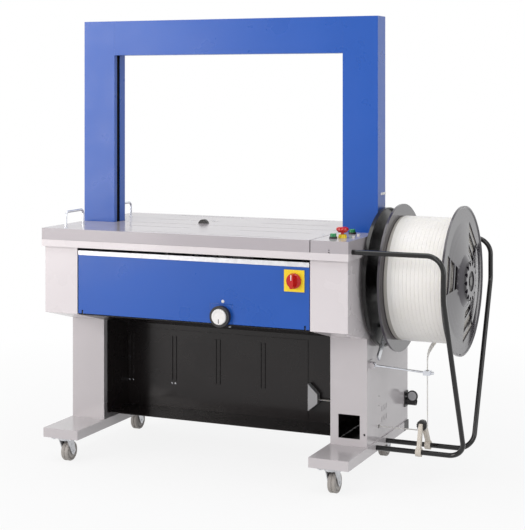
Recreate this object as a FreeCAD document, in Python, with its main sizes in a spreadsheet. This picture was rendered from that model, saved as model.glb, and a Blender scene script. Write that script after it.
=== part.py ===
import FreeCAD, Part
import math
import os
import re
import Sketcher

# Automatic arch strapping machine for parcels: an arch over a table, a cabinet on two T legs, and a strap reel.
# All sizes are millimetres. Pieces are drawn with X = 0 at the middle of the arch, Y = 0 at its mid plane and
# Z = 0 on the floor, then placed so that the middle of the whole machine lies on the Z axis.

Vector = FreeCAD.Vector
UP = Vector(0, 0, 1)
document = FreeCAD.newDocument("ArchStrapper")
sheet = document.addObject("Spreadsheet::Sheet", "Sizes")

# Driving dimensions: name, value, meaning
SIZES = [
    ("arch_post", 121, "width of the arch's columns"),
    ("table_depth", 630, "table, front to back"),
    ("table_top", 787, "height of the table"),
    ("lid_skirt", 38, "height of the folded edge of the lids"),
    ("rail_height", 23, "height of the rail band under the lids"),
    ("sheet_wall", 2, "thickness of the cover sheets"),
    ("frame_wall", 3, "thickness of the leg and housing sheets"),
    ("lid_inset", 6, "right end of the lids, from the arch's right column"),
    ("lid_gap", 4, "gap between the two lids, where the strap passes"),
    ("play", 3, "gap between a moving cover and what stands beside it"),
    ("groove_length", 250, "length of a pressed groove in the lids"),
    ("groove_width", 5, "width of a pressed groove"),
    ("groove_depth", 1.2, "depth of a pressed groove"),
    ("clear_width", 850, "clear width of the arch"),
    ("clear_height", 583, "clear height of the arch over the table"),
    ("beam_face", 119, "height of the arch beam"),
    ("arch_depth", 75, "depth of the arch, front to back"),
    ("cover_depth", 18, "depth of the front arch covers at the opening"),
    ("strap_slot", 21, "width of the slot between arch cover and arch frame"),
    ("track_recess", 6, "how far the strap track stands back in its slot"),
    ("track_depth", 26, "thickness of the strap track"),
    ("track_groove", 14, "width of the groove the strap runs in"),
    ("track_corner", 7, "cut corners of the strap track"),
    ("body_inset", 6, "cabinet end behind the table's end"),
    ("post_width", 124, "width of the corner posts and legs"),
    ("body_front", 302, "cabinet front, from the mid plane"),
    ("body_rear", 295, "cabinet rear, from the mid plane"),
    ("front_bottom", 504, "height of the cabinet's lower front edge"),
    ("body_bottom", 459, "height of the cabinet floor at the legs"),
    ("leg_front", 126, "front of the legs, from the mid plane"),
    ("foot_width", 132, "width of a foot"),
    ("foot_front", 308, "front end of a foot, from the mid plane"),
    ("foot_rear", 286, "rear end of a foot, from the mid plane"),
    ("foot_height", 31, "height of a foot channel"),
    ("castor_head", 20, "castor plate, fork crown and room over the wheel"),
    ("castor_front", 274, "front castor, from the mid plane"),
    ("castor_rear", 208, "rear castor, from the mid plane"),
    ("wheel_radius", 32.5, "radius of a castor wheel"),
    ("wheel_width", 26, "width of a castor wheel"),
    ("castor_trail", 22, "castor axle behind its king pin"),
    ("plate_thickness", 3, "castor top plate"),
    ("king_pin", 5, "radius of a castor king pin"),
    ("axle_radius", 4, "radius of a castor axle"),
    ("running_gap", 0.08, "radial clearance of a turning fit"),
    ("seat_gap", 0.3, "clearance of pieces that only lie against each other"),
    ("door_top", 701, "top of the front door under its grip"),
    ("grip_height", 15, "height of the grip strip"),
    ("door_depth", 20, "depth of the door tray"),
    ("door_inset", 2, "how far the door stands behind the posts"),
    ("pin_height", 513, "height of the door hinge"),
    ("pin_inset", 7, "door hinge behind the cabinet front"),
    ("hinge_radius", 2.5, "radius of the hinge pins"),
    ("switch_inset", 50, "main switch, from the right end of the door"),
    ("switch_z", 657, "main switch, height"),
    ("switch_size", 68, "side of the main switch plate"),
    ("dial_x", 112, "tension dial, left to right"),
    ("dial_z", 531, "tension dial, height"),
    ("bezel_radius", 34, "radius of the tension dial's bezel"),
    ("plate_half", 37, "half the width of the plate that carries the tension dial"),
    ("dial_radius", 25, "radius of the tension dial"),
    ("pool_front", 104, "front edge of the strap accumulator, from the mid plane"),
    ("pool_rear", 66, "rear wall of the strap accumulator"),
    ("pool_cover", 46, "cover of the strap accumulator"),
    ("pool_bottom", 136, "height of the accumulator's floor"),
    ("pool_cover_end", 272, "right end of the accumulator's cover"),
    ("reel_y", 15, "reel axle, behind the mid plane"),
    ("reel_z", 642, "reel axle, height"),
    ("reel_gap", 73, "inner face of the inner flange, from the cabinet side"),
    ("reel_width", 196, "space between the flanges"),
    ("flange_radius", 238, "radius of the flanges"),
    ("flange_sheet", 4, "thickness of the flanges at the rim"),
    ("flange_dish", 28, "how far the flange centres stand out"),
    ("hub_radius", 60, "radius of the toothed hub on a flange"),
    ("core_radius", 100, "radius of the reel core"),
    ("coil_radius", 200, "radius of the wound strap"),
    ("spindle_radius", 15, "radius of the fixed reel spindle"),
    ("back_plate_radius", 225, "radius of the round plate behind the reel"),
    ("back_plate_gap", 12, "round plate behind the reel, from the cabinet side"),
    ("strap_width", 12, "width of the strap"),
    ("strap_thickness", 0.8, "thickness of the strap"),
    ("strap_pitch", 12.7, "distance between turns of the wound strap"),
    ("guard_radius", 8, "radius of the guard tubes"),
    ("guard_length", 295, "outermost centre line of the guard tubes, from the cabinet side"),
    ("guard_top", 752, "height of the upper guard tubes"),
    ("guard_knee", 617, "height where the guard tubes turn inwards"),
    ("guard_y", 280, "upper guard tubes, from the mid plane"),
    ("guard_low", 98, "height of the lower guard tubes"),
    ("guard_low_front", 45, "front lower guard tube, from the mid plane"),
    ("guard_low_rear", 55, "rear lower guard tube, from the mid plane"),
    ("roller_gap", 146, "strap roller, from the cabinet side"),
    ("roller_z", 176, "strap roller, height"),
    ("roller_radius", 16.5, "radius of the strap roller"),
    ("lever_z", 345, "height of the strap eye on the brake lever"),
    ("lever_y", -100, "pivot of the brake lever, from the mid plane"),
    ("bow_height", 57, "height of the lifting bows"),
    ("bow_length", 120, "length of the lifting bows"),
    ("bow_radius", 4, "radius of the lifting bows"),
    ("bow_inset", 76, "lifting bows, from the left end of the table"),
    ("foot_radius", 7.2, "radius of the bushes that hold the bows"),
    ("head_x", -110, "sealing head, left to right"),
    ("cam_z", 600, "height of the cam shaft"),
    ("cam_radius", 30, "radius of a cam"),
    ("cam_lift", 6, "eccentricity of a cam"),
    ("shaft_radius", 10, "radius of the cam shaft"),
    ("feed_x", 30, "feed roller, left to right"),
    ("feed_z", 640, "height of the feed roller"),
    ("feed_radius", 25, "radius of the feed roller"),
    ("pinch_radius", 20, "radius of the pinch roller"),
    ("nip", 0.8, "gap between feed roller and pinch roller"),
]

# Places worked out from the driving dimensions
PLACES = [
    ("opening", "clear_width / 2"),
    ("table_end", "opening + arch_post"),
    ("table_edge", "table_depth / 2"),
    ("rail_top", "table_top - lid_skirt"),
    ("rail_bottom", "rail_top - rail_height"),
    ("plate_under", "rail_top - sheet_wall"),
    ("lid_right", "opening - lid_inset"),
    ("bow_x", "table_end - bow_inset"),
    ("beam_bottom", "table_top + clear_height"),
    ("arch_top", "beam_bottom + beam_face"),
    ("arch_face", "arch_depth / 2"),
    ("slot_front", "cover_depth - arch_face"),
    ("slot_rear", "slot_front + strap_slot"),
    ("strap_y", "(slot_front + slot_rear) / 2"),
    ("post_outer", "table_end - body_inset"),
    ("post_inner", "post_outer - post_width"),
    ("foot_middle", "post_outer - post_width / 2"),
    ("foot_outer", "foot_middle + foot_width / 2"),
    ("lever_x", "post_outer + 14"),
    ("reel_start", "post_outer + reel_gap"),
    ("back_plate_x", "post_outer + back_plate_gap"),
    ("guard_reach", "post_outer + guard_length"),
    ("roller_x", "post_outer + roller_gap"),
    ("foot_bottom", "2 * wheel_radius + castor_head"),
    ("foot_top", "foot_bottom + foot_height"),
    ("hinge_x", "lid_right - 3"),
    ("hinge_z", "table_top - 5"),
    ("door_front", "door_inset - body_front"),
    ("door_end", "post_inner - play"),
    ("switch_x", "door_end - switch_inset"),
    ("door_bottom", "front_bottom + 3"),
    ("estop_x", "table_end - 58"),
    ("estop_y", "106 - table_edge"),
    ("pin_y", "pin_inset - body_front"),
    ("reel_end", "reel_start + reel_width"),
    ("hub_end", "reel_end + flange_sheet + flange_dish"),
    ("strap_fall", "roller_x + roller_radius + seat_gap + strap_thickness / 2"),
    ("strap_low", "roller_z - roller_radius - seat_gap - strap_thickness / 2"),
    ("pinch_z", "feed_z + feed_radius + pinch_radius + nip"),
    ("right_reach", "guard_reach + guard_radius"),
    ("frame_shift", "(table_end - right_reach) / 2"),
    ("switch_reach", "seat_gap + 29 - door_front"),
    ("depth_shift", "(switch_reach - table_edge) / 2"),
]

for line, (alias, value, meaning) in enumerate(SIZES, start=1):
    sheet.set("A%d" % line, meaning)
    sheet.set("B%d" % line, str(value))
    sheet.setAlias("B%d" % line, alias)
document.recompute()

HOME = {alias: "Sizes." for alias, value, meaning in SIZES}


def cell(text):
    """An expression, with each size and place written as the cell or property that holds it."""
    return re.sub(r"[a-z][a-z_]*", lambda word: HOME.get(word.group(), "") + word.group(), str(text))


places = document.addObject("App::FeaturePython", "Places")
for alias, formula in PLACES:
    places.addProperty("App::PropertyFloat", alias)
    places.setExpression(alias, cell(formula))
    HOME[alias] = "Places."
document.recompute()

probe = document.addObject("App::FeaturePython", "Probe")
probe.addProperty("App::PropertyFloat", "reading")


def number(text):
    """The value of an expression in sizes and places."""
    probe.setExpression("reading", cell(text))
    probe.recompute()
    return probe.reading


NODES = []


def node(thing, label):
    """Name a finished sub-part and place it in the machine's frame."""
    thing.Label = label
    thing.setExpression("Placement.Base.x", cell("frame_shift"))
    thing.setExpression("Placement.Base.y", cell("depth_shift"))
    NODES.append(thing)
    return thing


# Part primitives and booleans

def block(x_low, x_high, y_low, y_high, z_low, z_high):
    box = document.addObject("Part::Box", "Block")
    for axis, side, low, high in (("x", "Length", x_low, x_high), ("y", "Width", y_low, y_high),
                                  ("z", "Height", z_low, z_high)):
        box.setExpression("Placement.Base." + axis, cell(low))
        box.setExpression(side, cell("(%s) - (%s)" % (high, low)))
    return box


TURNS = {"X": FreeCAD.Rotation(Vector(0, 1, 0), 90), "Y": FreeCAD.Rotation(Vector(1, 0, 0), -90),
         "Z": FreeCAD.Rotation()}


def round_bar(axis, x, y, z, radius, length):
    """Cylinder that starts at x, y, z and runs along the positive axis."""
    bar = document.addObject("Part::Cylinder", "Bar")
    bar.Placement = FreeCAD.Placement(Vector(), TURNS[axis])
    for name, value in (("x", x), ("y", y), ("z", z)):
        bar.setExpression("Placement.Base." + name, cell(value))
    bar.setExpression("Radius", cell(radius))
    bar.setExpression("Height", cell(length))
    return bar


def joined(*pieces):
    fusion = document.addObject("Part::MultiFuse", "Joined")
    fusion.Shapes = list(pieces)
    return fusion


def cut(base, *tools):
    result = document.addObject("Part::Cut", "Cut")
    result.Base = base
    result.Tool = tools[0] if len(tools) == 1 else joined(*tools)
    return result


def group(*pieces):
    """Separate solids that share one node."""
    compound = document.addObject("Part::Compound", "Group")
    compound.Links = list(pieces)
    return compound


# PartDesign bodies and sketches

def new_body(name):
    return document.addObject("PartDesign::Body", name)


def sketch_on(body, role, offset="0"):
    """Empty sketch on an origin plane of the body, moved along the plane's normal by an expression."""
    sketch = body.newObject("Sketcher::SketchObject", "Sketch")
    plane = [feature for feature in body.Origin.OriginFeatures if feature.Role == role][0]
    sketch.AttachmentSupport = [(plane, "")]
    sketch.MapMode = "FlatFace"
    sketch.setExpression("AttachmentOffset.Base.z", cell(offset))
    return sketch


def pin_point(sketch, item, end, x, y):
    """Hold a point of the sketch at two expressions, measured from the sketch origin."""
    for kind, text in (("DistanceX", x), ("DistanceY", y)):
        index = sketch.addConstraint(Sketcher.Constraint(kind, -1, 1, item, end, number(text)))
        sketch.setExpression("Constraints[%d]" % index, cell(text))


def outline(sketch, points):
    """Closed outline of straight lines through points given as pairs of expressions."""
    corners = [Vector(number(x), number(y), 0) for x, y in points]
    first = sketch.GeometryCount
    for start, end in zip(corners, corners[1:] + corners[:1]):
        sketch.addGeometry(Part.LineSegment(start, end), False)
    for step, (x, y) in enumerate(points):
        before = first + (step - 1) % len(points)
        sketch.addConstraint(Sketcher.Constraint("Coincident", before, 2, first + step, 1))
        pin_point(sketch, first + step, 1, x, y)


def rectangle(sketch, x_low, x_high, y_low, y_high):
    outline(sketch, [(x_low, y_low), (x_high, y_low), (x_high, y_high), (x_low, y_high)])


def circle(sketch, x, y, radius):
    centre = Vector(number(x), number(y), 0)
    item = sketch.addGeometry(Part.Circle(centre, UP, number(radius)), False)
    pin_point(sketch, item, 3, x, y)
    index = sketch.addConstraint(Sketcher.Constraint("Radius", item, number(radius)))
    sketch.setExpression("Constraints[%d]" % index, cell(radius))


def pad(body, sketch, length, backwards=False):
    feature = body.newObject("PartDesign::Pad", "Pad")
    feature.Profile = sketch
    feature.setExpression("Length", cell(length))
    feature.Reversed = backwards
    return feature


def pocket(body, sketch, length, backwards=False):
    """Cut against the sketch normal, or along it when backwards. It has to take material away."""
    document.recompute()
    before = body.Shape.Volume
    feature = body.newObject("PartDesign::Pocket", "Pocket")
    feature.Profile = sketch
    feature.setExpression("Length", cell(length))
    feature.Reversed = backwards
    document.recompute()
    if body.Shape.Volume > before - 0.01:
        raise RuntimeError("a pocket of %s cuts nothing" % body.Name)
    return feature


def centre_line(sketch, start, end):
    """Construction line through two points given as pairs of expressions."""
    points = [Vector(number(x), number(y), 0) for x, y in (start, end)]
    item = sketch.addGeometry(Part.LineSegment(*points), True)
    pin_point(sketch, item, 1, *start)
    pin_point(sketch, item, 2, *end)


def turned(body, sketch):
    """Revolve a sketch a full turn round its centre line."""
    feature = body.newObject("PartDesign::Revolution", "Revolution")
    feature.Profile = sketch
    feature.ReferenceAxis = (sketch, ["Axis0"])
    feature.Angle = 360
    return feature


# Paths of bent tubes

def bent_path(points, bend):
    """Straight runs joined by tangent arcs of one bend radius."""
    edges = []
    start = points[0]
    for before, corner, after in zip(points, points[1:], points[2:]):
        way_in = (corner - before).normalize()
        way_out = (after - corner).normalize()
        half_turn = way_in.getAngle(way_out) / 2
        reach = bend * math.tan(half_turn)
        arc_start = corner - way_in * reach
        arc_end = corner + way_out * reach
        inward = (way_out - way_in).normalize()
        arc_middle = corner + inward * (bend / math.cos(half_turn) - bend)
        if (arc_start - start).Length > 1e-6:
            edges.append(Part.LineSegment(start, arc_start).toShape())
        edges.append(Part.Arc(arc_start, arc_middle, arc_end).toShape())
        start = arc_end
    edges.append(Part.LineSegment(start, points[-1]).toShape())
    return Part.Wire(edges)


def round_tube(points, bend, radius):
    path = bent_path(points, bend)
    section = Part.Wire([Part.makeCircle(radius, points[0], points[1] - points[0])])
    return path.makePipeShell([section], True, False)


def shaped(label, shape):
    """Sub-part whose shape follows a path and is made from the sizes in code."""
    feature = document.addObject("Part::Feature", "Path")
    feature.Shape = shape
    return node(feature, label)


def mirror_sign(side):
    return "1" if side == "right" else "-1"


# Legs: a folded C channel on a lipped foot channel; the right one carries the lever's pivot and the power inlet

def lever_ears():
    """Two ears with the lever's pivot pin, on the side of the right leg."""
    pieces = [round_bar("Y", "lever_x", "lever_y - 12", "lever_z + 29", "3", "24")]
    for start in ("lever_y - 11.5", "lever_y + 8.5"):
        pieces.append(round_bar("Y", "lever_x", start, "lever_z + 29", "6", "3"))
        pieces.append(block("post_outer", "lever_x", start, start + " + 3", "lever_z + 20", "lever_z + 38"))
    pieces.append(block("post_outer", "post_outer + 2", "lever_y - 22", "lever_y + 22", "lever_z + 14", "lever_z + 44"))
    return joined(*pieces)


def mains_inlet():
    """Round power inlet with its open lid, on the rear edge of the right leg."""
    y, z = "body_rear - 22", "foot_top + 68"
    plate = block("post_outer", "post_outer + 4", y + " - 18", y + " + 18", z + " - 18", z + " + 34")
    socket = round_bar("X", "post_outer", y, z, "13", "38")
    mouth = round_bar("X", "post_outer + 12", y, z, "10", "30")
    lug = block("post_outer", "post_outer + 12", y + " - 8", y + " + 8", z + " + 19", z + " + 29")
    hinge = round_bar("Y", "post_outer + 12", y + " - 18", z + " + 24", "5", "26")
    lid = round_bar("Y", "post_outer + 30", y + " - 20", z + " + 22", "19", "4")
    return joined(plate, cut(socket, mouth), lug, hinge, lid)


def make_leg(side):
    sign = mirror_sign(side)
    body = new_body("Leg")
    channel = sketch_on(body, "XY_Plane", "foot_top")
    inner, outer, wall = sign + " * post_inner", sign + " * post_outer", "frame_wall"
    face = "%s * (post_outer - frame_wall)" % sign
    outline(channel, [(inner, "-leg_front"), (outer, "-leg_front"), (outer, "body_rear"), (inner, "body_rear"),
                      (inner, "body_rear - " + wall), (face, "body_rear - " + wall),
                      (face, "-leg_front + " + wall), (inner, "-leg_front + " + wall)])
    pad(body, channel, "body_bottom - foot_top")
    foot = sketch_on(body, "XY_Plane", "foot_bottom")
    ends = [sign + " * (foot_outer - foot_width)", sign + " * foot_outer"]
    rectangle(foot, ends[0], ends[1], "-foot_front", "foot_rear + 9")
    pad(body, foot, "foot_height")
    slot = sketch_on(body, "XY_Plane", "foot_bottom")
    rectangle(slot, sign + " * foot_middle - 25", sign + " * foot_middle + 25",
              "-foot_front + frame_wall", "foot_rear + 9 - frame_wall")
    pocket(body, slot, wall, True)
    hollow = sketch_on(body, "XY_Plane", "foot_bottom + frame_wall")
    inset = [sign + " * (foot_outer - foot_width + frame_wall)", sign + " * (foot_outer - frame_wall)"]
    rectangle(hollow, inset[0], inset[1], "-foot_front + frame_wall", "foot_rear + 9 - frame_wall")
    pocket(body, hollow, "foot_height - 2 * frame_wall", True)
    if side == "right":
        window = sketch_on(body, "XZ_Plane", "leg_front")
        rectangle(window, "post_inner + 27", "post_inner + 100", "foot_top + 23", "foot_top + 99")
        circle(window, "post_outer - 9", "foot_top + 39", "3.5")
        pocket(body, window, "frame_wall + 1")
        openings = sketch_on(body, "YZ_Plane", "post_outer")
        rectangle(openings, "strap_y - 9", "strap_y + 9", "strap_low - 5", "strap_low + 5")
        circle(openings, "strap_y", "foot_top + 140", "3")
        circle(openings, "strap_y", "foot_top + 109", "3")
        for row in ("foot_top + 94", "foot_top + 59"):
            for step in range(4):
                low = "%d + 16 * %d" % (12, step)
                outline(openings, [(low, row + " - 10"), (low + " + 5", row + " - 8"),
                                   (low + " + 12", row + " + 10"), (low + " + 7", row + " + 8")])
        pocket(body, openings, "frame_wall + 1")
        return node(joined(body, lever_ears(), mains_inlet()), "right_leg")
    return node(body, "left_leg")


# Side housings: corner post, side wall, sloped bottom and rear wall, open to the inside and to the top

def make_housing(side):
    sign = mirror_sign(side)
    body = new_body("Housing")
    start = "post_inner" if side == "right" else "-post_outer"
    profile = sketch_on(body, "YZ_Plane", start)
    outline(profile, [("-body_front", "plate_under"), ("-body_front", "front_bottom"),
                      ("-leg_front", "body_bottom"), ("body_rear", "body_bottom"), ("body_rear", "plate_under")])
    pad(body, profile, "post_width")
    hollow = sketch_on(body, "YZ_Plane", sign + " * post_inner")
    outline(hollow, [("-body_front + frame_wall", "plate_under + 1"),
                     ("-body_front + frame_wall", "front_bottom + frame_wall"),
                     ("-leg_front + frame_wall", "body_bottom + frame_wall"),
                     ("body_rear - frame_wall", "body_bottom + frame_wall"),
                     ("body_rear - frame_wall", "plate_under + 1")])
    pocket(body, hollow, "post_width - frame_wall", side == "right")
    return node(body, side + "_housing")


def slope(y):
    """Height of the cabinet's sloped underside at a place front to back."""
    return "(front_bottom - (front_bottom - body_bottom) * (body_front + %s) / (body_front - leg_front))" % y


def make_floor_pan():
    body = new_body("FloorPan")
    profile = sketch_on(body, "YZ_Plane", "-post_inner")
    wall = "sheet_wall"
    front = "pin_y + 3"
    rise = slope(front)
    outline(profile, [(front, rise), ("-leg_front", "body_bottom"), ("body_rear - 2", "body_bottom"),
                      ("body_rear - 2", "body_bottom + " + wall), ("-leg_front", "body_bottom + " + wall),
                      (front, rise + " + " + wall)])
    pad(body, profile, "2 * post_inner")
    return node(body, "floor_pan")


def make_rear_panel():
    tray = block("-post_inner", "post_inner", "body_rear - 2", "body_rear", "body_bottom", "plate_under")
    folds = [block("-post_inner", "post_inner", "body_rear - 16", "body_rear - 2", "plate_under - 2", "plate_under")]
    return node(joined(tray, *folds), "rear_panel")


def make_rail():
    body = new_body("TableRail")
    band = sketch_on(body, "XY_Plane", "rail_bottom")
    rectangle(band, "-table_end", "table_end", "-table_edge", "table_edge")
    pad(body, band, "rail_height")
    hollow = sketch_on(body, "XY_Plane", "rail_bottom")
    rectangle(hollow, "-table_end + sheet_wall", "table_end - sheet_wall",
              "-table_edge + sheet_wall", "table_edge - sheet_wall")
    pocket(body, hollow, "rail_height - sheet_wall", True)
    window = sketch_on(body, "XY_Plane", "rail_top")
    rectangle(window, "-post_inner", "post_inner", "-table_edge + 60", "table_edge - 60")
    pocket(body, window, "sheet_wall + 1")
    return node(body, "table_rail")


# Table: two hinged lids and a fixed end

BUTTONS = {"front": ("table_end - 77", "75 - table_edge"), "rear": ("table_end - 69", "-arch_face - 51")}
LAMPS = [("table_end - 34", "-arch_face - 89"), ("table_end - 30", "-arch_face - 149")]

GROOVES = {"front": [("-table_edge + 35", (-245, 56)), ("-table_edge + 190", (-331, 98))],
           "rear": [("table_edge - 190", (-348, 64)), ("table_edge - 35", (-321, 10))]}


LID_EDGES = {"front": ("-table_edge", "strap_y - lid_gap / 2"), "rear": ("strap_y + lid_gap / 2", "table_edge")}


def ear_spans(side):
    """Where the two fixed hinge ears of a lid stand, front to back."""
    near, far = LID_EDGES[side]
    return [(near + " + 5", near + " + 9"), (far + " - 9", far + " - 5")]


def bow_feet(side):
    """Y of a bow's two legs, as text for the sheet."""
    start = "-table_edge + 25 + bow_radius" if side == "front" else "arch_face + play + 10"
    return start, start + " + bow_length - 2 * bow_radius"


def make_lid(side):
    body = new_body("Lid")
    near, far = LID_EDGES[side]
    notch_low, notch_high = ("-arch_face - play", "0") if side == "front" else ("-arch_face", "arch_face + play")
    plan = sketch_on(body, "XY_Plane", "rail_top + seat_gap")
    rectangle(plan, "-table_end", "lid_right", near, far)
    pad(body, plan, "lid_skirt - seat_gap")
    hollow = sketch_on(body, "XY_Plane", "rail_top")
    rectangle(hollow, "-table_end + sheet_wall", "lid_right - sheet_wall",
              near + " + sheet_wall", far + " - sheet_wall")
    pocket(body, hollow, "lid_skirt - sheet_wall", True)
    notch = sketch_on(body, "XY_Plane", "table_top + 1")
    rectangle(notch, "-table_end - 1", "-opening + play", notch_low, notch_high)
    pocket(body, notch, "lid_skirt + 2")
    sockets = sketch_on(body, "XY_Plane", "table_top")
    for place in bow_feet(side):
        circle(sockets, "-bow_x", place, "foot_radius + seat_gap")
    pocket(body, sockets, "2 * sheet_wall")
    grooves = sketch_on(body, "XY_Plane", "table_top")
    for row, starts in GROOVES[side]:
        for start in starts:
            rectangle(grooves, "%d" % start, "%d + groove_length" % start,
                      row + " - groove_width / 2", row + " + groove_width / 2")
    pocket(body, grooves, "groove_depth")
    relief = sketch_on(body, "XY_Plane", "rail_top")
    for low, high in ear_spans(side):
        rectangle(relief, "lid_right - sheet_wall - 1", "lid_right + 1", low + " - 1", high + " + 1")
    pocket(body, relief, "lid_skirt - sheet_wall", True)
    start, end = near + " + 10", far + " - 10"
    knuckle = sketch_on(body, "XZ_Plane", "-(%s)" % end)
    circle(knuckle, "hinge_x", "hinge_z", "hinge_radius + 1.7")
    pad(body, knuckle, "(%s) - (%s)" % (end, start))
    bore = sketch_on(body, "XZ_Plane", "-(%s) - 1" % end)
    circle(bore, "hinge_x", "hinge_z", "hinge_radius + running_gap")
    pocket(body, bore, "(%s) - (%s) + 2" % (end, start), True)
    return node(body, side + "_lid")


def make_table_end():
    body = new_body("TableEnd")
    plan = sketch_on(body, "XY_Plane", "rail_top")
    rectangle(plan, "lid_right + play", "table_end", "-table_edge", "table_edge")
    pad(body, plan, "lid_skirt")
    hollow = sketch_on(body, "XY_Plane", "rail_top")
    rectangle(hollow, "lid_right + play - 1", "table_end - sheet_wall",
              "-table_edge + sheet_wall", "table_edge - sheet_wall")
    pocket(body, hollow, "lid_skirt - sheet_wall", True)
    notch = sketch_on(body, "XY_Plane", "table_top")
    rectangle(notch, "opening", "table_end + 1", "-arch_face", "arch_face")
    circle(notch, "estop_x", "estop_y", "6.2")
    for x, y in BUTTONS.values():
        circle(notch, x, y, "6.2")
    pocket(body, notch, "lid_skirt")
    holes = sketch_on(body, "XZ_Plane", "table_edge")
    for drop in ("28", "35"):
        circle(holes, "table_end - 63", "table_top - " + drop, "2")
    pocket(body, holes, "sheet_wall + 1")
    return node(body, "table_end")


# Lifting bows of the lids

def make_bow(side):
    x, z, height = -number("bow_x"), number("table_top"), number("bow_height")
    start, end = [number(place) for place in bow_feet(side)]
    top = z + height - number("bow_radius")
    points = [Vector(x, start, z), Vector(x, start, top), Vector(x, end, top), Vector(x, end, z)]
    bow = round_tube(points, 3.5 * number("bow_radius"), number("bow_radius"))
    radius, deep = number("foot_radius"), number("sheet_wall + 2")
    feet = [Part.makeCylinder(radius, deep + 2, Vector(x, y, z - deep)) for y in (start, end)]
    return shaped(side + "_bow", bow.fuse(feet))


def make_stop():
    base = round_bar("Y", "head_x - 6", "slot_rear + 32", "table_top - 4", "18", "14")
    below = block("head_x - 40", "head_x + 40", "slot_rear + 20", "slot_rear + 60", "table_top - 40", "table_top")
    return node(cut(base, below), "parcel_stop")


# Arch: a U shaped sheet frame behind, three covers in front, and the strap track in the slot between

def make_arch_frame():
    body = new_body("ArchFrame")
    face = sketch_on(body, "XZ_Plane", "-arch_face")
    outline(face, [("-table_end", "rail_top"), ("-table_end", "arch_top"), ("table_end", "arch_top"),
                   ("table_end", "rail_top"), ("opening", "rail_top"), ("opening", "beam_bottom"),
                   ("-opening", "beam_bottom"), ("-opening", "rail_top")])
    pad(body, face, "arch_face - slot_rear")
    hollow = sketch_on(body, "XZ_Plane", "-slot_rear")
    outer, inner, wall = "(table_end - sheet_wall)", "(opening + sheet_wall)", " + sheet_wall"
    outline(hollow, [("-" + outer, "rail_top" + wall), ("-" + outer, "arch_top - sheet_wall"),
                     (outer, "arch_top - sheet_wall"), (outer, "rail_top" + wall), (inner, "rail_top" + wall),
                     (inner, "beam_bottom" + wall), ("-" + inner, "beam_bottom" + wall),
                     ("-" + inner, "rail_top" + wall)])
    pocket(body, hollow, "arch_face - slot_rear - sheet_wall")
    return node(body, "arch_frame")


def make_column_cover(side):
    sign = 1 if side == "right" else -1
    span = ("opening", "table_end") if sign > 0 else ("-table_end", "-opening")
    inside = ("opening + sheet_wall", "table_end - sheet_wall")
    flange = ("opening - 1", "opening + sheet_wall")
    if sign < 0:
        inside = ("sheet_wall - table_end", "-opening - sheet_wall")
        flange = ("-opening - sheet_wall", "1 - opening")
    shell = block(*span, "-arch_face", "slot_rear", "rail_top", "arch_top")
    hollow = block(*inside, "sheet_wall - arch_face", "slot_rear + 1", "rail_top - 1", "arch_top - sheet_wall")
    slot = block(*flange, "slot_front", "slot_rear + 1", "rail_top - 1", "arch_top - sheet_wall")
    return node(cut(shell, hollow, slot), "arch_cover_" + side)


def make_beam_cover():
    shell = block("-opening", "opening", "-arch_face", "slot_rear", "beam_bottom", "arch_top")
    hollow = block("-opening - 1", "opening + 1", "sheet_wall - arch_face", "slot_rear + 1",
                   "beam_bottom + sheet_wall", "arch_top - sheet_wall")
    slot = block("-opening - 1", "opening + 1", "slot_front", "slot_rear + 1",
                 "beam_bottom - 1", "beam_bottom + sheet_wall + 1")
    return node(cut(shell, hollow, slot), "arch_cover_top")


def arch_band(sketch, near, far, bottom):
    """U shaped band round the arch opening, between two distances from it, with cut corners."""
    points = []
    for offset, order in ((near, 1), (far, -1)):
        x, z = "(opening + %s)" % offset, "(beam_bottom + %s)" % offset
        side = [("-" + x, bottom), ("-" + x, z + " - track_corner"), ("-%s + track_corner" % x, z),
                (x + " - track_corner", z), (x, z + " - track_corner"), (x, bottom)]
        points += side[::order]
    outline(sketch, points)


def make_track():
    body = new_body("StrapTrack")
    band = sketch_on(body, "XZ_Plane", "sheet_wall - arch_face")
    arch_band(band, "track_recess", "(track_recess + track_depth)", "rail_top + sheet_wall + 1")
    pad(body, band, "arch_face - sheet_wall - slot_front - seat_gap")
    groove = sketch_on(body, "XZ_Plane", "-strap_y - track_groove / 2")
    arch_band(groove, "(track_recess - 1)", "(track_recess + 6)", "rail_top")
    pocket(body, groove, "track_groove", True)
    return node(body, "strap_track")


# Strap accumulator between the legs

def make_accumulator():
    end = "post_inner"
    shell = block("-" + end, end, "-pool_front", "pool_rear", "pool_bottom", "body_bottom")
    recess = block("-%s + sheet_wall" % end, end + " - sheet_wall", "-pool_front - 1", "pool_cover - 2",
                   "pool_bottom + sheet_wall", "body_bottom - sheet_wall")
    pool = block("-%s + sheet_wall" % end, "pool_cover_end - 8", "pool_cover - 3", "pool_rear - sheet_wall",
                 "pool_bottom + 10", "body_bottom - 56")
    passage = block(end + " - 3", end + " + 1", "pool_cover - 24", "pool_cover - 6",
                    "pool_bottom + 78", "pool_bottom + 90")
    return node(cut(shell, recess, pool, passage), "accumulator_box")


def make_pool_cover():
    body = new_body("PoolCover")
    face = sketch_on(body, "XZ_Plane", "2 - pool_cover")
    rectangle(face, "-post_inner + sheet_wall", "pool_cover_end", "pool_bottom + sheet_wall", "body_bottom - 49")
    pad(body, face, "sheet_wall")
    ribs = sketch_on(body, "XZ_Plane", "4 - pool_cover")
    for pair in range(4):
        for offset in (-11, 4):
            left = "%d + 169 * %d" % (-402 + offset, pair)
            rectangle(ribs, left, left + " + 7", "body_bottom - 225", "body_bottom - 71")
    pad(body, ribs, "3")
    return node(body, "accumulator_cover")


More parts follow.
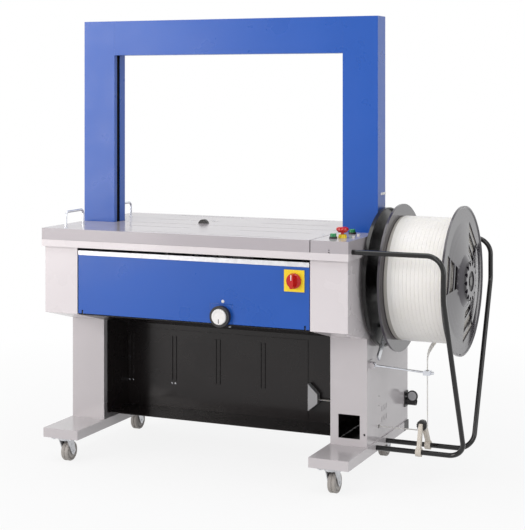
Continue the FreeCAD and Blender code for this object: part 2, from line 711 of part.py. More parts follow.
def make_inlet_guide():
    body = new_body("InletGuide")
    face = sketch_on(body, "XZ_Plane", "2 - pool_cover")
    left = "pool_cover_end + 8"
    outline(face, [(left, "pool_bottom + 41"), (left + " + 34", "pool_bottom + 69"),
                   (left + " + 34", "pool_bottom + 99"), (left, "pool_bottom + 132")])
    pad(body, face, "24")
    passage = sketch_on(body, "YZ_Plane", left)
    rectangle(passage, "pool_cover - 22", "pool_cover - 8", "pool_bottom + 80", "pool_bottom + 88")
    pocket(body, passage, "60", True)
    return node(body, "inlet_guide")


# Front door with its grip, main switch and the tension dial

def make_door():
    body = new_body("FrontDoor")
    plan = sketch_on(body, "XZ_Plane", "-door_front")
    rectangle(plan, "-door_end", "door_end", "door_bottom", "door_top")
    pad(body, plan, "door_depth", True)
    hollow = sketch_on(body, "XZ_Plane", "-door_front - door_depth")
    rectangle(hollow, "-door_end + sheet_wall", "door_end - sheet_wall",
              "door_bottom + sheet_wall", "door_top - sheet_wall")
    pocket(body, hollow, "door_depth - sheet_wall", True)
    lugs = sketch_on(body, "YZ_Plane", "-door_end")
    circle(lugs, "pin_y", "pin_height", "hinge_radius + 1.8")
    pad(body, lugs, "2 * door_end")
    bore = sketch_on(body, "YZ_Plane", "-door_end")
    circle(bore, "pin_y", "pin_height", "hinge_radius + running_gap")
    pocket(body, bore, "2 * door_end + 1", True)
    dial_gap = sketch_on(body, "XZ_Plane", "-door_front + 5")
    rectangle(dial_gap, "dial_x - plate_half - play", "dial_x + plate_half + play",
              "door_bottom - 8", "dial_z + plate_half + play")
    pocket(body, dial_gap, "door_depth + 10")
    spindle = sketch_on(body, "XZ_Plane", "-door_front + 5")
    circle(spindle, "switch_x", "switch_z", "5")
    pocket(body, spindle, "15")
    ears = sketch_on(body, "XY_Plane", "door_bottom - 5")
    for x in ("-door_end + 12", "door_end - 18"):
        rectangle(ears, x, x + " + 6", "door_front - 1", "door_front + door_depth + 3")
    pocket(body, ears, "pin_height + 11 - door_bottom", True)
    return node(body, "front_door")


def make_door_grip():
    body = new_body("DoorGrip")
    profile = sketch_on(body, "YZ_Plane", "-door_end")
    front, rear, low, high = "door_front - 2", "door_front + door_depth", "door_top", "door_top + grip_height"
    outline(profile, [(front, low), (rear, low), (rear, low + " + 2"), (front + " + 2", low + " + 2"),
                      (front + " + 2", high + " - 2"), (front + " + 12", high + " - 2"),
                      (front + " + 12", high), (front, high)])
    pad(body, profile, "2 * door_end")
    return node(body, "door_grip")


def make_switch_plate():
    half = "switch_size / 2"
    plate = block("switch_x - " + half, "switch_x + " + half, "door_front - 3", "door_front",
                  "switch_z - " + half, "switch_z + " + half)
    bore = round_bar("Y", "switch_x", "door_front - 4", "switch_z", "4 + running_gap", "6")
    return node(cut(plate, bore), "switch_plate")


def knob_body(name, x, z, face, profile):
    """Body of revolution about a line to the front; profile is pairs of distance forward and radius."""
    body = new_body(name)
    sketch = sketch_on(body, "XY_Plane", z)
    outline(sketch, [("%s + %s" % (x, radius), "%s - (%s)" % (face, forward)) for forward, radius in profile])
    centre_line(sketch, (x, face + " + 20"), (x, face + " - 20"))
    turned(body, sketch)
    return body


def make_switch_knob():
    face = "door_front - 3 - seat_gap"
    body = knob_body("SwitchKnob", "switch_x", "switch_z", face,
                     [("-12", "0"), ("-12", "4"), ("0", "4"), ("0", "24"), ("6", "24"), ("9", "20"), ("9", "0")])
    grip = sketch_on(body, "XZ_Plane", "3 - door_front + seat_gap")
    outline(grip, [("switch_x - 4", "switch_z - 22"), ("switch_x + 4", "switch_z - 22"),
                   ("switch_x + 7", "switch_z - 12"), ("switch_x + 7", "switch_z + 12"),
                   ("switch_x + 4", "switch_z + 22"), ("switch_x - 4", "switch_z + 22"),
                   ("switch_x - 7", "switch_z + 12"), ("switch_x - 7", "switch_z - 12")])
    pad(body, grip, "26")
    return node(body, "switch_knob")


def make_bezel():
    body = new_body("DialBezel")
    plate = sketch_on(body, "XZ_Plane", "-door_front - 4")
    rectangle(plate, "dial_x - plate_half", "dial_x + plate_half", "door_bottom", "dial_z + plate_half")
    pad(body, plate, "4")
    neck = sketch_on(body, "XZ_Plane", "-door_front - door_depth + 4")
    circle(neck, "dial_x", "dial_z", "bezel_radius - 14")
    pad(body, neck, "door_depth")
    ring = sketch_on(body, "XZ_Plane", "-door_front - 4")
    circle(ring, "dial_x", "dial_z", "bezel_radius")
    pad(body, ring, "20")
    well = sketch_on(body, "XZ_Plane", "-door_front + 16")
    circle(well, "dial_x", "dial_z", "dial_radius + seat_gap")
    pocket(body, well, "14")
    bore = sketch_on(body, "XZ_Plane", "-door_front + 16")
    circle(bore, "dial_x", "dial_z", "3 + running_gap")
    pocket(body, bore, "door_depth + 20")
    foot = sketch_on(body, "YZ_Plane", "dial_x - 22")
    near, far = "door_front + door_depth - 4", "door_front + door_depth + 4"
    outline(foot, [(near, slope(near) + " + sheet_wall"), (far, slope(far) + " + sheet_wall"),
                   (far, "dial_z"), (near, "dial_z")])
    pad(body, foot, "44")
    return node(body, "dial_bezel")


def make_dial():
    face = "door_front - 2 - seat_gap"
    body = knob_body("TensionDial", "dial_x", "dial_z", face,
                     [("-14", "0"), ("-14", "3"), ("0", "3"), ("0", "dial_radius"), ("18", "dial_radius"),
                      ("20", "dial_radius - 2"), ("20", "dial_radius - 7"), ("19", "dial_radius - 8"), ("19", "0")])
    flutes = sketch_on(body, "XZ_Plane", "22 - door_front + seat_gap")
    for step in range(20):
        angle = 2 * math.pi * (step + 0.5) / 20
        circle(flutes, "dial_x + %.6f * (dial_radius + 0.6)" % math.cos(angle),
               "dial_z + %.6f * (dial_radius + 0.6)" % math.sin(angle), "1.6")
    pocket(body, flutes, "6")
    return node(body, "tension_dial")


# Buttons on the fixed table end

def turned_piece(name, x, y, profile):
    """Body of revolution about a vertical line at x, y: profile is radius and height pairs of expressions."""
    body = new_body(name)
    sketch = sketch_on(body, "XZ_Plane", "-(%s)" % y)
    outline(sketch, [("%s + %s" % (x, radius), height) for radius, height in profile])
    centre_line(sketch, (x, "table_top"), (x, "table_top + 50"))
    turned(body, sketch)
    return body


def make_estop():
    top = "table_top"
    collar = turned_piece("EstopCollar", "estop_x", "estop_y",
                          [("5 + running_gap", top), ("14", top), ("12", top + " + 11"), ("5 + running_gap", top + " + 11")])
    head = turned_piece("EstopHead", "estop_x", "estop_y",
                        [("0", top + " - 14"), ("5", top + " - 14"), ("5", top + " + 17"), ("13", top + " + 17"),
                         ("20", top + " + 25"), ("19", top + " + 31"), ("14", top + " + 34"), ("0", top + " + 35")])
    return [node(collar, "estop_collar"), node(head, "estop_head")]


def make_buttons():
    rings = []
    made = []
    top = "table_top"
    for side, (x, y) in BUTTONS.items():
        ring = cut(round_bar("Z", x, y, top, "12.5", "6"), round_bar("Z", x, y, top + " - 1", "10 + running_gap", "8"))
        rings.append(ring)
        cap = turned_piece("Button", x, y, [("0", top + " - 12"), ("5", top + " - 12"), ("5", top + " + 4"),
                                            ("10", top + " + 4"), ("10", top + " + 14"), ("8", top + " + 16"),
                                            ("0", top + " + 16")])
        made.append(node(cap, "button_" + side))
    made.append(node(group(*rings), "button_rings"))
    lamps = [round_bar("Z", x, y, top, "5", "5") for x, y in LAMPS]
    made.append(node(group(*lamps), "panel_lamps"))
    return made


# Castors

CASTORS = {"front_left": (-1, "-castor_front"), "front_right": (1, "-castor_front"),
           "rear_left": (-1, "castor_rear"), "rear_right": (1, "castor_rear")}


def make_castor_plates():
    solids = []
    for sign, y in CASTORS.values():
        x = "%d * foot_middle" % sign
        plate = block(x + " - 38", x + " + 38", y + " - 30", y + " + 30", "foot_bottom - plate_thickness",
                      "foot_bottom")
        pin = round_bar("Z", x, y, "foot_bottom - plate_thickness - 11", "king_pin", "plate_thickness + 11")
        head = round_bar("Z", x, y, "foot_bottom - plate_thickness - 11", "king_pin + 4", "3")
        solids.append(joined(plate, pin, head))
    return node(group(*solids), "castor_plates")


def make_fork(name, sign, y):
    x = "%d * foot_middle" % sign
    body = new_body("Fork")
    top = "foot_bottom - plate_thickness - seat_gap"
    reach, half = "(axle_radius + 9)", "(wheel_width / 2 + 2)"
    crown = sketch_on(body, "XY_Plane", top + " - 6")
    circle(crown, x, y, "24")
    pad(body, crown, "6")
    side = sketch_on(body, "YZ_Plane", x + " - " + half + " - 3")
    outline(side, [(y + " - 18", top), (y + " + 20", top), (y + " + castor_trail + %s" % reach, "wheel_radius"),
                   (y + " + castor_trail", "wheel_radius - %s" % reach),
                   (y + " + castor_trail - 10", "wheel_radius - 6")])
    pad(body, side, "2 * (%s + 3)" % half)
    gap = sketch_on(body, "YZ_Plane", x + " - " + half)
    rectangle(gap, y + " - 60", y + " + castor_trail + 60", "1", top + " - 7.5")
    pocket(body, gap, "2 * (%s)" % half, True)
    bore = sketch_on(body, "XY_Plane", top + " + 1")
    circle(bore, x, y, "king_pin + running_gap")
    pocket(body, bore, "8.5")
    axle = sketch_on(body, "YZ_Plane", x + " - " + half + " - 5")
    circle(axle, y + " + castor_trail", "wheel_radius", "axle_radius")
    pad(body, axle, "2 * (%s + 5)" % half)
    return node(body, "fork_" + name)


def make_wheel(name, sign, y):
    x = "%d * foot_middle" % sign
    body = new_body("Wheel")
    sketch = sketch_on(body, "XY_Plane", "wheel_radius")
    middle = y + " + castor_trail"
    half, bore = "wheel_width / 2", "axle_radius + running_gap"
    profile = [("-" + half, bore), (half, bore), (half, "wheel_radius - 9"), (half + " - 3", "wheel_radius - 8"),
               (half, "wheel_radius - 6"), (half, "wheel_radius - 2"), (half + " - 3", "wheel_radius"),
               ("2", "wheel_radius"), ("0", "wheel_radius - 2"), ("-2", "wheel_radius"),
               ("3 - " + half, "wheel_radius"), ("-" + half, "wheel_radius - 2"), ("-" + half, "wheel_radius - 6"),
               ("3 - " + half, "wheel_radius - 8"), ("-" + half, "wheel_radius - 9")]
    outline(sketch, [("%s + %s" % (x, along), "%s + %s" % (middle, radius)) for along, radius in profile])
    centre_line(sketch, (x, middle), (x + " + wheel_width", middle))
    turned(body, sketch)
    return node(body, "wheel_" + name)


# Reel: bracket with back plate and spindle, core, two dished flanges and the wound strap

def turned_reel_piece(name, profile):
    """Body of revolution about the reel axle: profile is x and radius pairs of expressions."""
    body = new_body(name)
    sketch = sketch_on(body, "XZ_Plane", "-reel_y")
    outline(sketch, [(x, "reel_z + " + radius) for x, radius in profile])
    centre_line(sketch, ("reel_start", "reel_z"), ("reel_end", "reel_z"))
    turned(body, sketch)
    return body


def make_reel_bracket():
    foot = block("post_outer", "back_plate_x", "reel_y - 80", "reel_y + 80", "reel_z - 90", "reel_z + 70")
    plate = round_bar("X", "back_plate_x", "reel_y", "reel_z", "back_plate_radius", "4")
    bead = cut(round_bar("X", "back_plate_x", "reel_y", "reel_z", "back_plate_radius", "12"),
               round_bar("X", "back_plate_x - 1", "reel_y", "reel_z", "back_plate_radius - 4", "14"))
    boss = round_bar("X", "back_plate_x", "reel_y", "reel_z", "40", "20")
    spindle = round_bar("X", "back_plate_x", "reel_y", "reel_z", "spindle_radius", "hub_end - back_plate_x - 1")
    stay = new_body("Stay")
    arm = sketch_on(stay, "YZ_Plane", "back_plate_x + 16")
    outline(arm, [("reel_y - 131", "reel_z - 236"), ("reel_y - 115", "reel_z - 252"),
                  ("reel_y - 19", "reel_z - 159"), ("reel_y - 35", "reel_z - 143")])
    pad(stay, arm, "6")
    spacer = round_bar("X", "back_plate_x", "reel_y - 30", "reel_z - 155", "6", "18")
    return node(joined(foot, plate, bead, boss, spindle, stay, spacer), "reel_bracket")


def make_reel_core():
    bore = "spindle_radius + running_gap"
    body = turned_reel_piece("ReelCore", [
        ("back_plate_x + 21", bore), ("hub_end - 3", bore), ("hub_end - 3", "32"), ("reel_end", "32"),
        ("reel_end", "core_radius - seat_gap"), ("reel_end - 3", "core_radius - seat_gap"), ("reel_end - 3", "32"),
        ("reel_start + 3", "32"), ("reel_start + 3", "core_radius - seat_gap"),
        ("reel_start", "core_radius - seat_gap"),
        ("reel_start", "32"), ("back_plate_x + 21", "32")])
    return node(body, "reel_core")


def make_flange(side):
    """Dished flange with three groups of windows, and its hub; the outer hub has a ring of notches."""
    sign = "+" if side == "outer" else "-"
    face = "reel_end" if side == "outer" else "reel_start"

    def out(distance):
        return "%s %s (%s)" % (face, sign, distance)

    rim, sheet_face, hub_edge = "flange_radius", "flange_sheet", "hub_radius + 24"
    body = turned_reel_piece("Flange", [
        (out("0"), rim), (out("flange_sheet + 3"), rim), (out("flange_sheet + 3"), rim + " - 4"),
        (out(sheet_face), rim + " - 8"), (out(sheet_face), rim + " - 50"),
        (out("flange_sheet + flange_dish / 3"), hub_edge), (out("flange_dish / 3"), hub_edge),
        (out("0"), rim + " - 50")])
    hub = turned_reel_piece("Hub", [
        (out("flange_sheet + flange_dish / 3"), hub_edge), (out("flange_sheet + flange_dish - 8"), "hub_radius + 4"),
        (out("flange_sheet + flange_dish"), "hub_radius"), (out("flange_sheet + flange_dish"), "32 + seat_gap"),
        (out("flange_dish / 3"), "32 + seat_gap"), (out("flange_dish / 3"), hub_edge)])
    offset = "hub_end + 1" if side == "outer" else "reel_start + 1"
    windows = sketch_on(body, "YZ_Plane", offset)
    for turn in range(3):
        angle = math.radians(168 + 120 * turn)
        for near, far in (("core_radius - 7", "core_radius + 15"), ("core_radius + 24", "core_radius + 57"),
                          ("core_radius + 65", "core_radius + 88")):
            window_outline(windows, angle, near, far)
    pocket(body, windows, "flange_sheet + flange_dish + 4")
    if side == "outer":
        teeth = sketch_on(hub, "YZ_Plane", offset)
        for step in range(14):
            angle = 2 * math.pi * step / 14
            circle(teeth, "reel_y + %.6f * (hub_radius - 4)" % math.cos(angle),
                   "reel_z + %.6f * (hub_radius - 4)" % math.sin(angle), "7")
        pocket(hub, teeth, "15")
    return node(group(body, hub), "flange_" + side)


def window_outline(sketch, angle, near, far):
    """Window across a spoke of the flange between two radii; a group of them narrows towards the hub."""
    out_y, out_z = math.cos(angle), math.sin(angle)
    corners = []
    for radius, side in ((near, 1), (near, -1), (far, -1), (far, 1)):
        half = "%d * (30 + 0.31 * (%s - core_radius + 14))" % (side, radius)
        corners.append(("reel_y + %.6f * (%s) - %.6f * (%s)" % (out_y, radius, out_z, half),
                        "reel_z + %.6f * (%s) + %.6f * (%s)" % (out_z, radius, out_y, half)))
    outline(sketch, corners)


def biarc(start, start_way, end, end_way):
    """Two tangent arcs between two points with given directions."""
    chord = end - start
    slope = 2 * (start_way.dot(end_way) - 1)
    middle = -2 * chord.dot(start_way + end_way)
    square = chord.dot(chord)
    reach = (-middle - math.sqrt(middle * middle - 4 * slope * square)) / (2 * slope)
    knee_in = start + start_way * reach
    knee_out = end - end_way * reach
    joint = (knee_in + knee_out) * 0.5
    arcs = []
    for first, knee, last in ((start, knee_in, joint), (joint, knee_out, end)):
        half_chord = (last - first) * 0.5
        way = (knee - first).normalize()
        lean = way.getAngle(half_chord)
        crown = (knee - (first + half_chord)).normalize()
        arcs.append(Part.Arc(first, first + half_chord + crown * (half_chord.Length * math.tan(lean / 2)), last))
    return arcs


def make_coil():
    """Plain core of wound strap under an outer layer of one unbroken flat strap."""
    radius, pitch = number("coil_radius"), number("strap_pitch")
    wide, thick = number("strap_width"), number("strap_thickness")
    start_x, width = number("reel_start + seat_gap"), number("reel_width - 2 * seat_gap")
    centre = Vector(0, number("reel_y"), number("reel_z"))
    turns = int((width - wide - 1) / pitch)
    first_x = start_x + (width - turns * pitch) / 2
    run = radius - thick / 2

    def place(turn):
        angle = 2 * math.pi * turn - math.pi / 2
        return centre + Vector(first_x + pitch * turn, run * math.cos(angle), run * math.sin(angle))

    def way(turn):
        angle = 2 * math.pi * turn - math.pi / 2
        return Vector(pitch / (2 * math.pi * run), -math.sin(angle), math.cos(angle)).normalize()

    arcs = []
    for half in range(2 * turns):
        arcs += biarc(place(half / 2), way(half / 2), place(half / 2 + 0.5), way(half / 2 + 0.5))
    path = Part.Wire([arc.toShape() for arc in arcs])
    along, out = Vector(wide / 2, 0, 0), Vector(0, 0, thick / 2)
    corner = place(0)
    section = Part.makePolygon([corner - along - out, corner + along - out, corner + along + out,
                                corner - along + out, corner - along - out])
    strap = path.makePipeShell([section], True, False)
    gaps = []
    for arc, later in zip(arcs, arcs[4:]):
        for share in range(5):
            here, there = [each.value(each.FirstParameter + (each.LastParameter - each.FirstParameter) * share / 4)
                           for each in (arc, later)]
            gaps.append((there - here).Length - wide)
    print("wound strap: %d turns, least gap between turns %.2f mm" % (turns, min(gaps)))
    inner = radius - thick - number("seat_gap")
    axle = centre + Vector(start_x, 0, 0)
    core = Part.makeCylinder(inner, width, axle, Vector(1, 0, 0)).cut(
        Part.makeCylinder(number("core_radius"), width, axle, Vector(1, 0, 0)))
    return shaped("strap_coil", Part.makeCompound([core, strap]))


# Guard tubes round the reel, and what they carry

def make_guard():
    """Two bent tubes round the reel, from the table down to the foot."""
    reach, top, low = number("guard_reach"), number("guard_top"), number("guard_low")
    tubes = []
    for high_y, low_y in (("-guard_y", "-guard_low_front"), ("guard_y", "guard_low_rear")):
        high_y, low_y = number(high_y), number(low_y)
        points = [Vector(number("table_end"), high_y, top), Vector(reach, high_y, top),
                  Vector(reach, high_y, number("guard_knee")), Vector(reach, low_y, low),
                  Vector(number("foot_outer"), low_y, low)]
        tubes.append(round_tube(points, 6.5 * number("guard_radius"), number("guard_radius")))
    return shaped("reel_guard", Part.makeCompound(tubes))


def make_roller_bracket():
    """Two cast arms clamped on the lower tubes, with the pin of the roller between them."""
    rings = []
    for low in ("-guard_low_front", "guard_low_rear"):
        ring = cut(round_bar("X", "roller_x - 9", low, "guard_low", "guard_radius + 6", "18"),
                   round_bar("X", "roller_x - 10", low, "guard_low", "guard_radius + 0.05", "20"))
        rings.append(ring)
    arms = []
    body = new_body("RollerArm")
    side = sketch_on(body, "YZ_Plane", "roller_x - 6")
    outline(side, [("-guard_low_front - 9", "guard_low + 11"), ("-guard_low_front + 9", "guard_low + 11"),
                   ("strap_y - 12", "roller_z - 12"), ("strap_y - 12", "roller_z + 7"),
                   ("strap_y - 17", "roller_z + 7"), ("strap_y - 24", "roller_z")])
    pad(body, side, "12")
    arms.append(body)
    other = new_body("RollerArm")
    side = sketch_on(other, "YZ_Plane", "roller_x - 6")
    outline(side, [("guard_low_rear - 9", "guard_low + 11"), ("guard_low_rear + 9", "guard_low + 11"),
                   ("strap_y + 26", "roller_z + 7"), ("strap_y + 12", "roller_z + 7"),
                   ("strap_y + 12", "roller_z - 12")])
    pad(other, side, "12")
    arms.append(other)
    pin = round_bar("Y", "roller_x", "strap_y - 13", "roller_z", "3.5", "26")
    return node(joined(*rings, *arms, pin), "roller_bracket")


def make_roller():
    start, half = "strap_y - strap_width / 2 - 4", "strap_width / 2 + 4"
    drum = round_bar("Y", "roller_x", start, "roller_z", "roller_radius", "2 * (%s)" % half)
    bore = round_bar("Y", "roller_x", start + " - 1", "roller_z", "3.5 + running_gap", "2 * (%s) + 2" % half)
    notches = []
    for step in range(16):
        angle = 2 * math.pi * step / 16
        notches.append(round_bar("Y", "roller_x + %.6f * roller_radius" % math.cos(angle), start + " - 1",
                                 "roller_z + %.6f * roller_radius" % math.sin(angle), "1.6",
                                 "2 * (%s) + 2" % half))
    return node(cut(drum, bore, *notches), "strap_roller")


def make_lever():
    """Chrome rod from its pivot beside the leg to the eye that the strap passes."""
    pivot = Vector(number("lever_x"), number("lever_y"), number("lever_z + 29"))
    eye = Vector(number("strap_fall"), number("strap_y"), number("lever_z"))
    along, up = Vector(1, 0, 0), Vector(0, 1, 0)
    rod = Part.makeCylinder(3.5, (eye - pivot).Length - 9, pivot, eye - pivot)
    hub = Part.makeCylinder(8, 12, pivot - up * 6, up)
    bore = Part.makeCylinder(3 + number("running_gap"), 14, pivot - up * 7, up)
    frame = Part.makeBox(22, 26, 14, eye - Vector(11, 13, 7))
    slot = Part.makeBox(10, 18, 20, eye - Vector(5, 9, 10))
    tip = Part.makeCylinder(5, 12, eye + along * 9, along)
    return shaped("brake_lever", rod.fuse([hub, frame, tip]).cut(bore).cut(slot))


def make_strap_run():
    """Strap from the reel through the eye, round the roller and into the leg."""
    wide, thick = number("strap_width"), number("strap_thickness")
    x, y = number("strap_fall"), number("strap_y")
    bend = number("roller_radius + seat_gap") + thick / 2
    axle = Vector(number("roller_x"), y, number("roller_z"))
    low = number("strap_low")
    top = number("lever_z + 40")
    down = Part.LineSegment(Vector(x, y, top), Vector(x, y, axle.z)).toShape()
    corner = math.sqrt(0.5) * bend
    turn = Part.Arc(Vector(x, y, axle.z), axle + Vector(corner, 0, -corner), Vector(axle.x, y, low)).toShape()
    level = Part.LineSegment(Vector(axle.x, y, low), Vector(number("post_outer - 12"), y, low)).toShape()
    section = Part.makePolygon([Vector(x + a * thick / 2, y + b * wide / 2, top)
                                for a, b in ((-1, -1), (1, -1), (1, 1), (-1, 1), (-1, -1))])
    lower = Part.Wire([down, turn, level]).makePipeShell([section], True, False)
    leave = math.radians(62)
    out = Vector(0, math.cos(leave), -math.sin(leave))
    away = Vector(0, -math.sin(leave), -math.cos(leave))
    centre = Vector(number("reel_start + 0.55 * reel_width"), number("reel_y"), number("reel_z"))
    begin = centre + out * (number("coil_radius") + number("seat_gap") + thick / 2)
    end = Vector(x, y, top)
    handles = [begin, begin + away * 50, end + UP * 45, end]
    sections = []
    for step in range(7):
        share = step / 6
        rest = 1 - share
        spot = (handles[0] * rest ** 3 + handles[1] * (3 * share * rest ** 2)
                + handles[2] * (3 * share ** 2 * rest) + handles[3] * share ** 3)
        flow = ((handles[1] - handles[0]) * rest ** 2 + (handles[2] - handles[1]) * (2 * share * rest)
                + (handles[3] - handles[2]) * share ** 2)
        across = Vector(math.cos(share * math.pi / 2), math.sin(share * math.pi / 2), 0)
        normal = across.cross(flow).normalize()
        across = flow.cross(normal).normalize()
        sections.append(Part.makePolygon([spot + across * (a * wide / 2) + normal * (b * thick / 2)
                                          for a, b in ((-1, -1), (1, -1), (1, 1), (-1, 1), (-1, -1))]))
    upper = Part.makeLoft(sections, True, True)
    pool_y = number("pool_cover - 15")
    level_z = number("pool_bottom + 80 + seat_gap") + thick / 2
    inner = Part.makeBox(number("post_inner - pool_cover_end + 20"), wide, thick,
                         Vector(number("pool_cover_end + 20"), pool_y - wide / 2, level_z - thick / 2))
    return shaped("strap_run", Part.makeCompound([lower.fuse(upper), inner]))


# Hinge pins of the lids and of the door

def make_hinge_pins():
    ears = []
    for side, (near, far) in LID_EDGES.items():
        spans = ear_spans(side)
        for low, high in spans:
            start, length = (low, "26") if (low, high) == spans[0] else (high + " - 26", "26")
            post = block("hinge_x - hinge_radius", "hinge_x + hinge_radius", low, high, "rail_top", "hinge_z")
            ears.append(joined(post, round_bar("Y", "hinge_x", start, "hinge_z", "hinge_radius", length)))
    for x, start in (("-door_end + 13", "-door_end + 13"), ("door_end - 17", "door_end - 39")):
        body = new_body("DoorEar")
        ear = sketch_on(body, "YZ_Plane", x)
        near, far = "pin_y + 3", "pin_y + 14"
        outline(ear, [(near, slope(near) + " + sheet_wall"), (far, slope(far) + " + sheet_wall"),
                      ("pin_y + 9", "pin_height + 3"), ("pin_y - 3", "pin_height + 3"), ("pin_y - 3", "pin_height - 3")])
        pad(body, ear, "4")
        ears.append(joined(body, round_bar("X", start, "pin_y", "pin_height", "hinge_radius", "26")))
    return node(group(*ears), "hinge_pins")


# Sealing head under the table

def make_head_frame():
    base = block("head_x - 100", "head_x + 220", "strap_y - 61", "strap_y + 69",
                 "body_bottom + sheet_wall", "body_bottom + sheet_wall + 8")
    top = "table_top - 67"
    ends = [block(x, x + " + 8", "strap_y - 51", "strap_y + 59", "body_bottom + sheet_wall + 7", top)
            for x in ("head_x - 100", "head_x + 80")]
    guide = block("head_x - 93", "head_x + 81", "strap_y - 31", "strap_y + 31", top + " - 30", top)
    feeds = [block("head_x + 90", "head_x + 220", y, y + " + 6", "body_bottom + sheet_wall + 7", top)
             for y in ("strap_y - 41", "strap_y + 41")]
    cam_bore = round_bar("X", "head_x - 101", "strap_y", "cam_z", "shaft_radius + running_gap", "202")
    slot = block("head_x - 20", "head_x + 20", "strap_y - 15", "strap_y + 15", top + " - 40", top + " + 1")
    bores = [round_bar("Y", "feed_x", "strap_y - 60", z, "6 + running_gap", "120") for z in ("feed_z", "pinch_z")]
    return node(cut(joined(base, *ends, guide, *feeds), cam_bore, slot, *bores), "head_frame")


def make_cam_shaft():
    shaft = round_bar("X", "head_x - 115", "strap_y", "cam_z", "shaft_radius", "220")
    cams = [round_bar("X", x, "strap_y", "cam_z + cam_lift", "cam_radius", "14")
            for x in ("head_x - 57", "head_x - 7", "head_x + 43")]
    return node(joined(shaft, *cams), "cam_shaft")


def make_platen():
    bar = block("head_x - 20 + seat_gap", "head_x + 20 - seat_gap", "strap_y - 15 + seat_gap",
                "strap_y + 15 - seat_gap", "cam_z + cam_radius + cam_lift + seat_gap", "table_top - 49")
    return node(group(bar), "press_platen")


def make_feed_wheels():
    made = []
    for name, z, radius, length in (("feed_roller", "feed_z", "feed_radius", "98"),
                                    ("pinch_roller", "pinch_z", "pinch_radius", "94")):
        shaft = round_bar("Y", "feed_x", "strap_y - 45", z, "6", length)
        drum = round_bar("Y", "feed_x", "strap_y - 8", z, radius, "16")
        made.append(node(joined(shaft, drum), name))
    return made


def make_motors():
    """Gear motors of the sealing head and of the strap feed."""
    start = "head_x - 100"
    flange = block(start + " - 16", start, "strap_y - 40", "strap_y + 40", "cam_z - 40", "cam_z + 40")
    barrel = round_bar("X", start + " - 110", "strap_y", "cam_z", "36", "95")
    well = round_bar("X", start + " - 20", "strap_y", "cam_z", "shaft_radius + 1", "21")
    foot = "strap_y + 47"
    feed_flange = block("feed_x - 34", "feed_x + 34", foot, foot + " + 10", "feed_z - 34", "feed_z + 34")
    feed_barrel = round_bar("Y", "feed_x", foot, "feed_z", "30", "90")
    feed_well = round_bar("Y", "feed_x", foot + " - 1", "feed_z", "7", "12")
    return node(group(cut(joined(flange, barrel), well), cut(joined(feed_flange, feed_barrel), feed_well)),
                "gear_motors")


def make_control_box():
    box = block("-post_inner + 11", "-post_inner + 171", "60", "280", "body_bottom + sheet_wall", "table_top - 107")
    return node(group(box), "control_box")


# Build

for side in ("left", "right"):
    make_leg(side)
    make_housing(side)
    make_column_cover(side)
for side in ("front", "rear"):
    make_lid(side)
    make_bow(side)
for side in ("inner", "outer"):
    make_flange(side)
for name, (sign, y) in CASTORS.items():
    make_fork(name, sign, y)
    make_wheel(name, sign, y)
for make in (make_floor_pan, make_rear_panel, make_rail, make_table_end, make_stop, make_arch_frame,
             make_beam_cover, make_track, make_accumulator, make_pool_cover, make_inlet_guide, make_door,
             make_door_grip, make_switch_plate, make_switch_knob, make_bezel, make_dial, make_estop, make_buttons,
             make_castor_plates, make_reel_bracket, make_reel_core, make_coil, make_guard, make_roller_bracket,
             make_roller, make_lever, make_strap_run, make_hinge_pins, make_head_frame, make_cam_shaft,
             make_platen, make_feed_wheels, make_motors, make_control_box):
    make()

document.recompute()
for thing in document.Objects:
    if "Invalid" in thing.State or "Error" in thing.State:
        raise RuntimeError("%s is not sound: %s" % (thing.Label, thing.State))
os.makedirs("parts", exist_ok=True)
for piece in NODES:
    if piece.Shape.isNull() or not piece.Shape.isValid():
        raise RuntimeError("%s has no sound shape" % piece.Label)
    piece.Shape.exportStep("parts/%s.step" % piece.Label)
print("%d sub-parts written" % len(NODES))
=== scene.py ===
# %% [markdown]
# # Arch strapping machine
# The machine ties a plastic strap round a parcel that stands under its arch.
# Its solid pieces come ready from CAD, so this lesson dresses them: camera, light, paint, metal, plastic,
# the wound strap and the many small fasteners. First the frame is loaded.

# %% Load the machine
import math
import bmesh
import bpy
from mathutils import Matrix, Vector


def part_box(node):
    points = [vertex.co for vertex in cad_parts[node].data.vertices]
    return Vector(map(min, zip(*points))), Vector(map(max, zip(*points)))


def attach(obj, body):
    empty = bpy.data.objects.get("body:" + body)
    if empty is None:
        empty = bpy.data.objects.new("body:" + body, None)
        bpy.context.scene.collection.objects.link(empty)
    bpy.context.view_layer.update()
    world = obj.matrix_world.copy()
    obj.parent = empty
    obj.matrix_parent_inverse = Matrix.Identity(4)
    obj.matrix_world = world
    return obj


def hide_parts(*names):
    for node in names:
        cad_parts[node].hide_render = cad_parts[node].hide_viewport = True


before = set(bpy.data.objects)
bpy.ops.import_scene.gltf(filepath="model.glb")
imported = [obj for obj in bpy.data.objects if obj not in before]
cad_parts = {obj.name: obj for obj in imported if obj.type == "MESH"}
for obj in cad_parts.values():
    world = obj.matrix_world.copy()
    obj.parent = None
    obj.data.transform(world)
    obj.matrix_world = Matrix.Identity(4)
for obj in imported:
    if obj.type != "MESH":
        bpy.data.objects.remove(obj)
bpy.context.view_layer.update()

# %% [markdown]
# ## One way to name a place
# All sizes were drawn in millimetres from the middle of the arch and the floor. Reading that middle from the
# arch's own box keeps every added piece in step with the frame, instead of typing the offset by hand.

# %% Places in millimetres
arch_low, arch_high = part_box("arch_frame")
column_back = 37.5
arch_middle = Vector(((arch_low.x + arch_high.x) / 2, arch_high.y - column_back / 1000, 0))


def spot(x, y, z):
    """A place in millimetres from the arch's middle and the floor, as a point of the frame."""
    return arch_middle + Vector((x, y, z)) / 1000


print("middle of the arch:", tuple(round(value, 4) for value in arch_middle))

# %% [markdown]
# ## Camera
# The upright edges of the machine stay parallel in the picture, so the camera looks level and its lens is
# shifted down, as an architect's camera does. Tilting the camera would make the columns lean together.

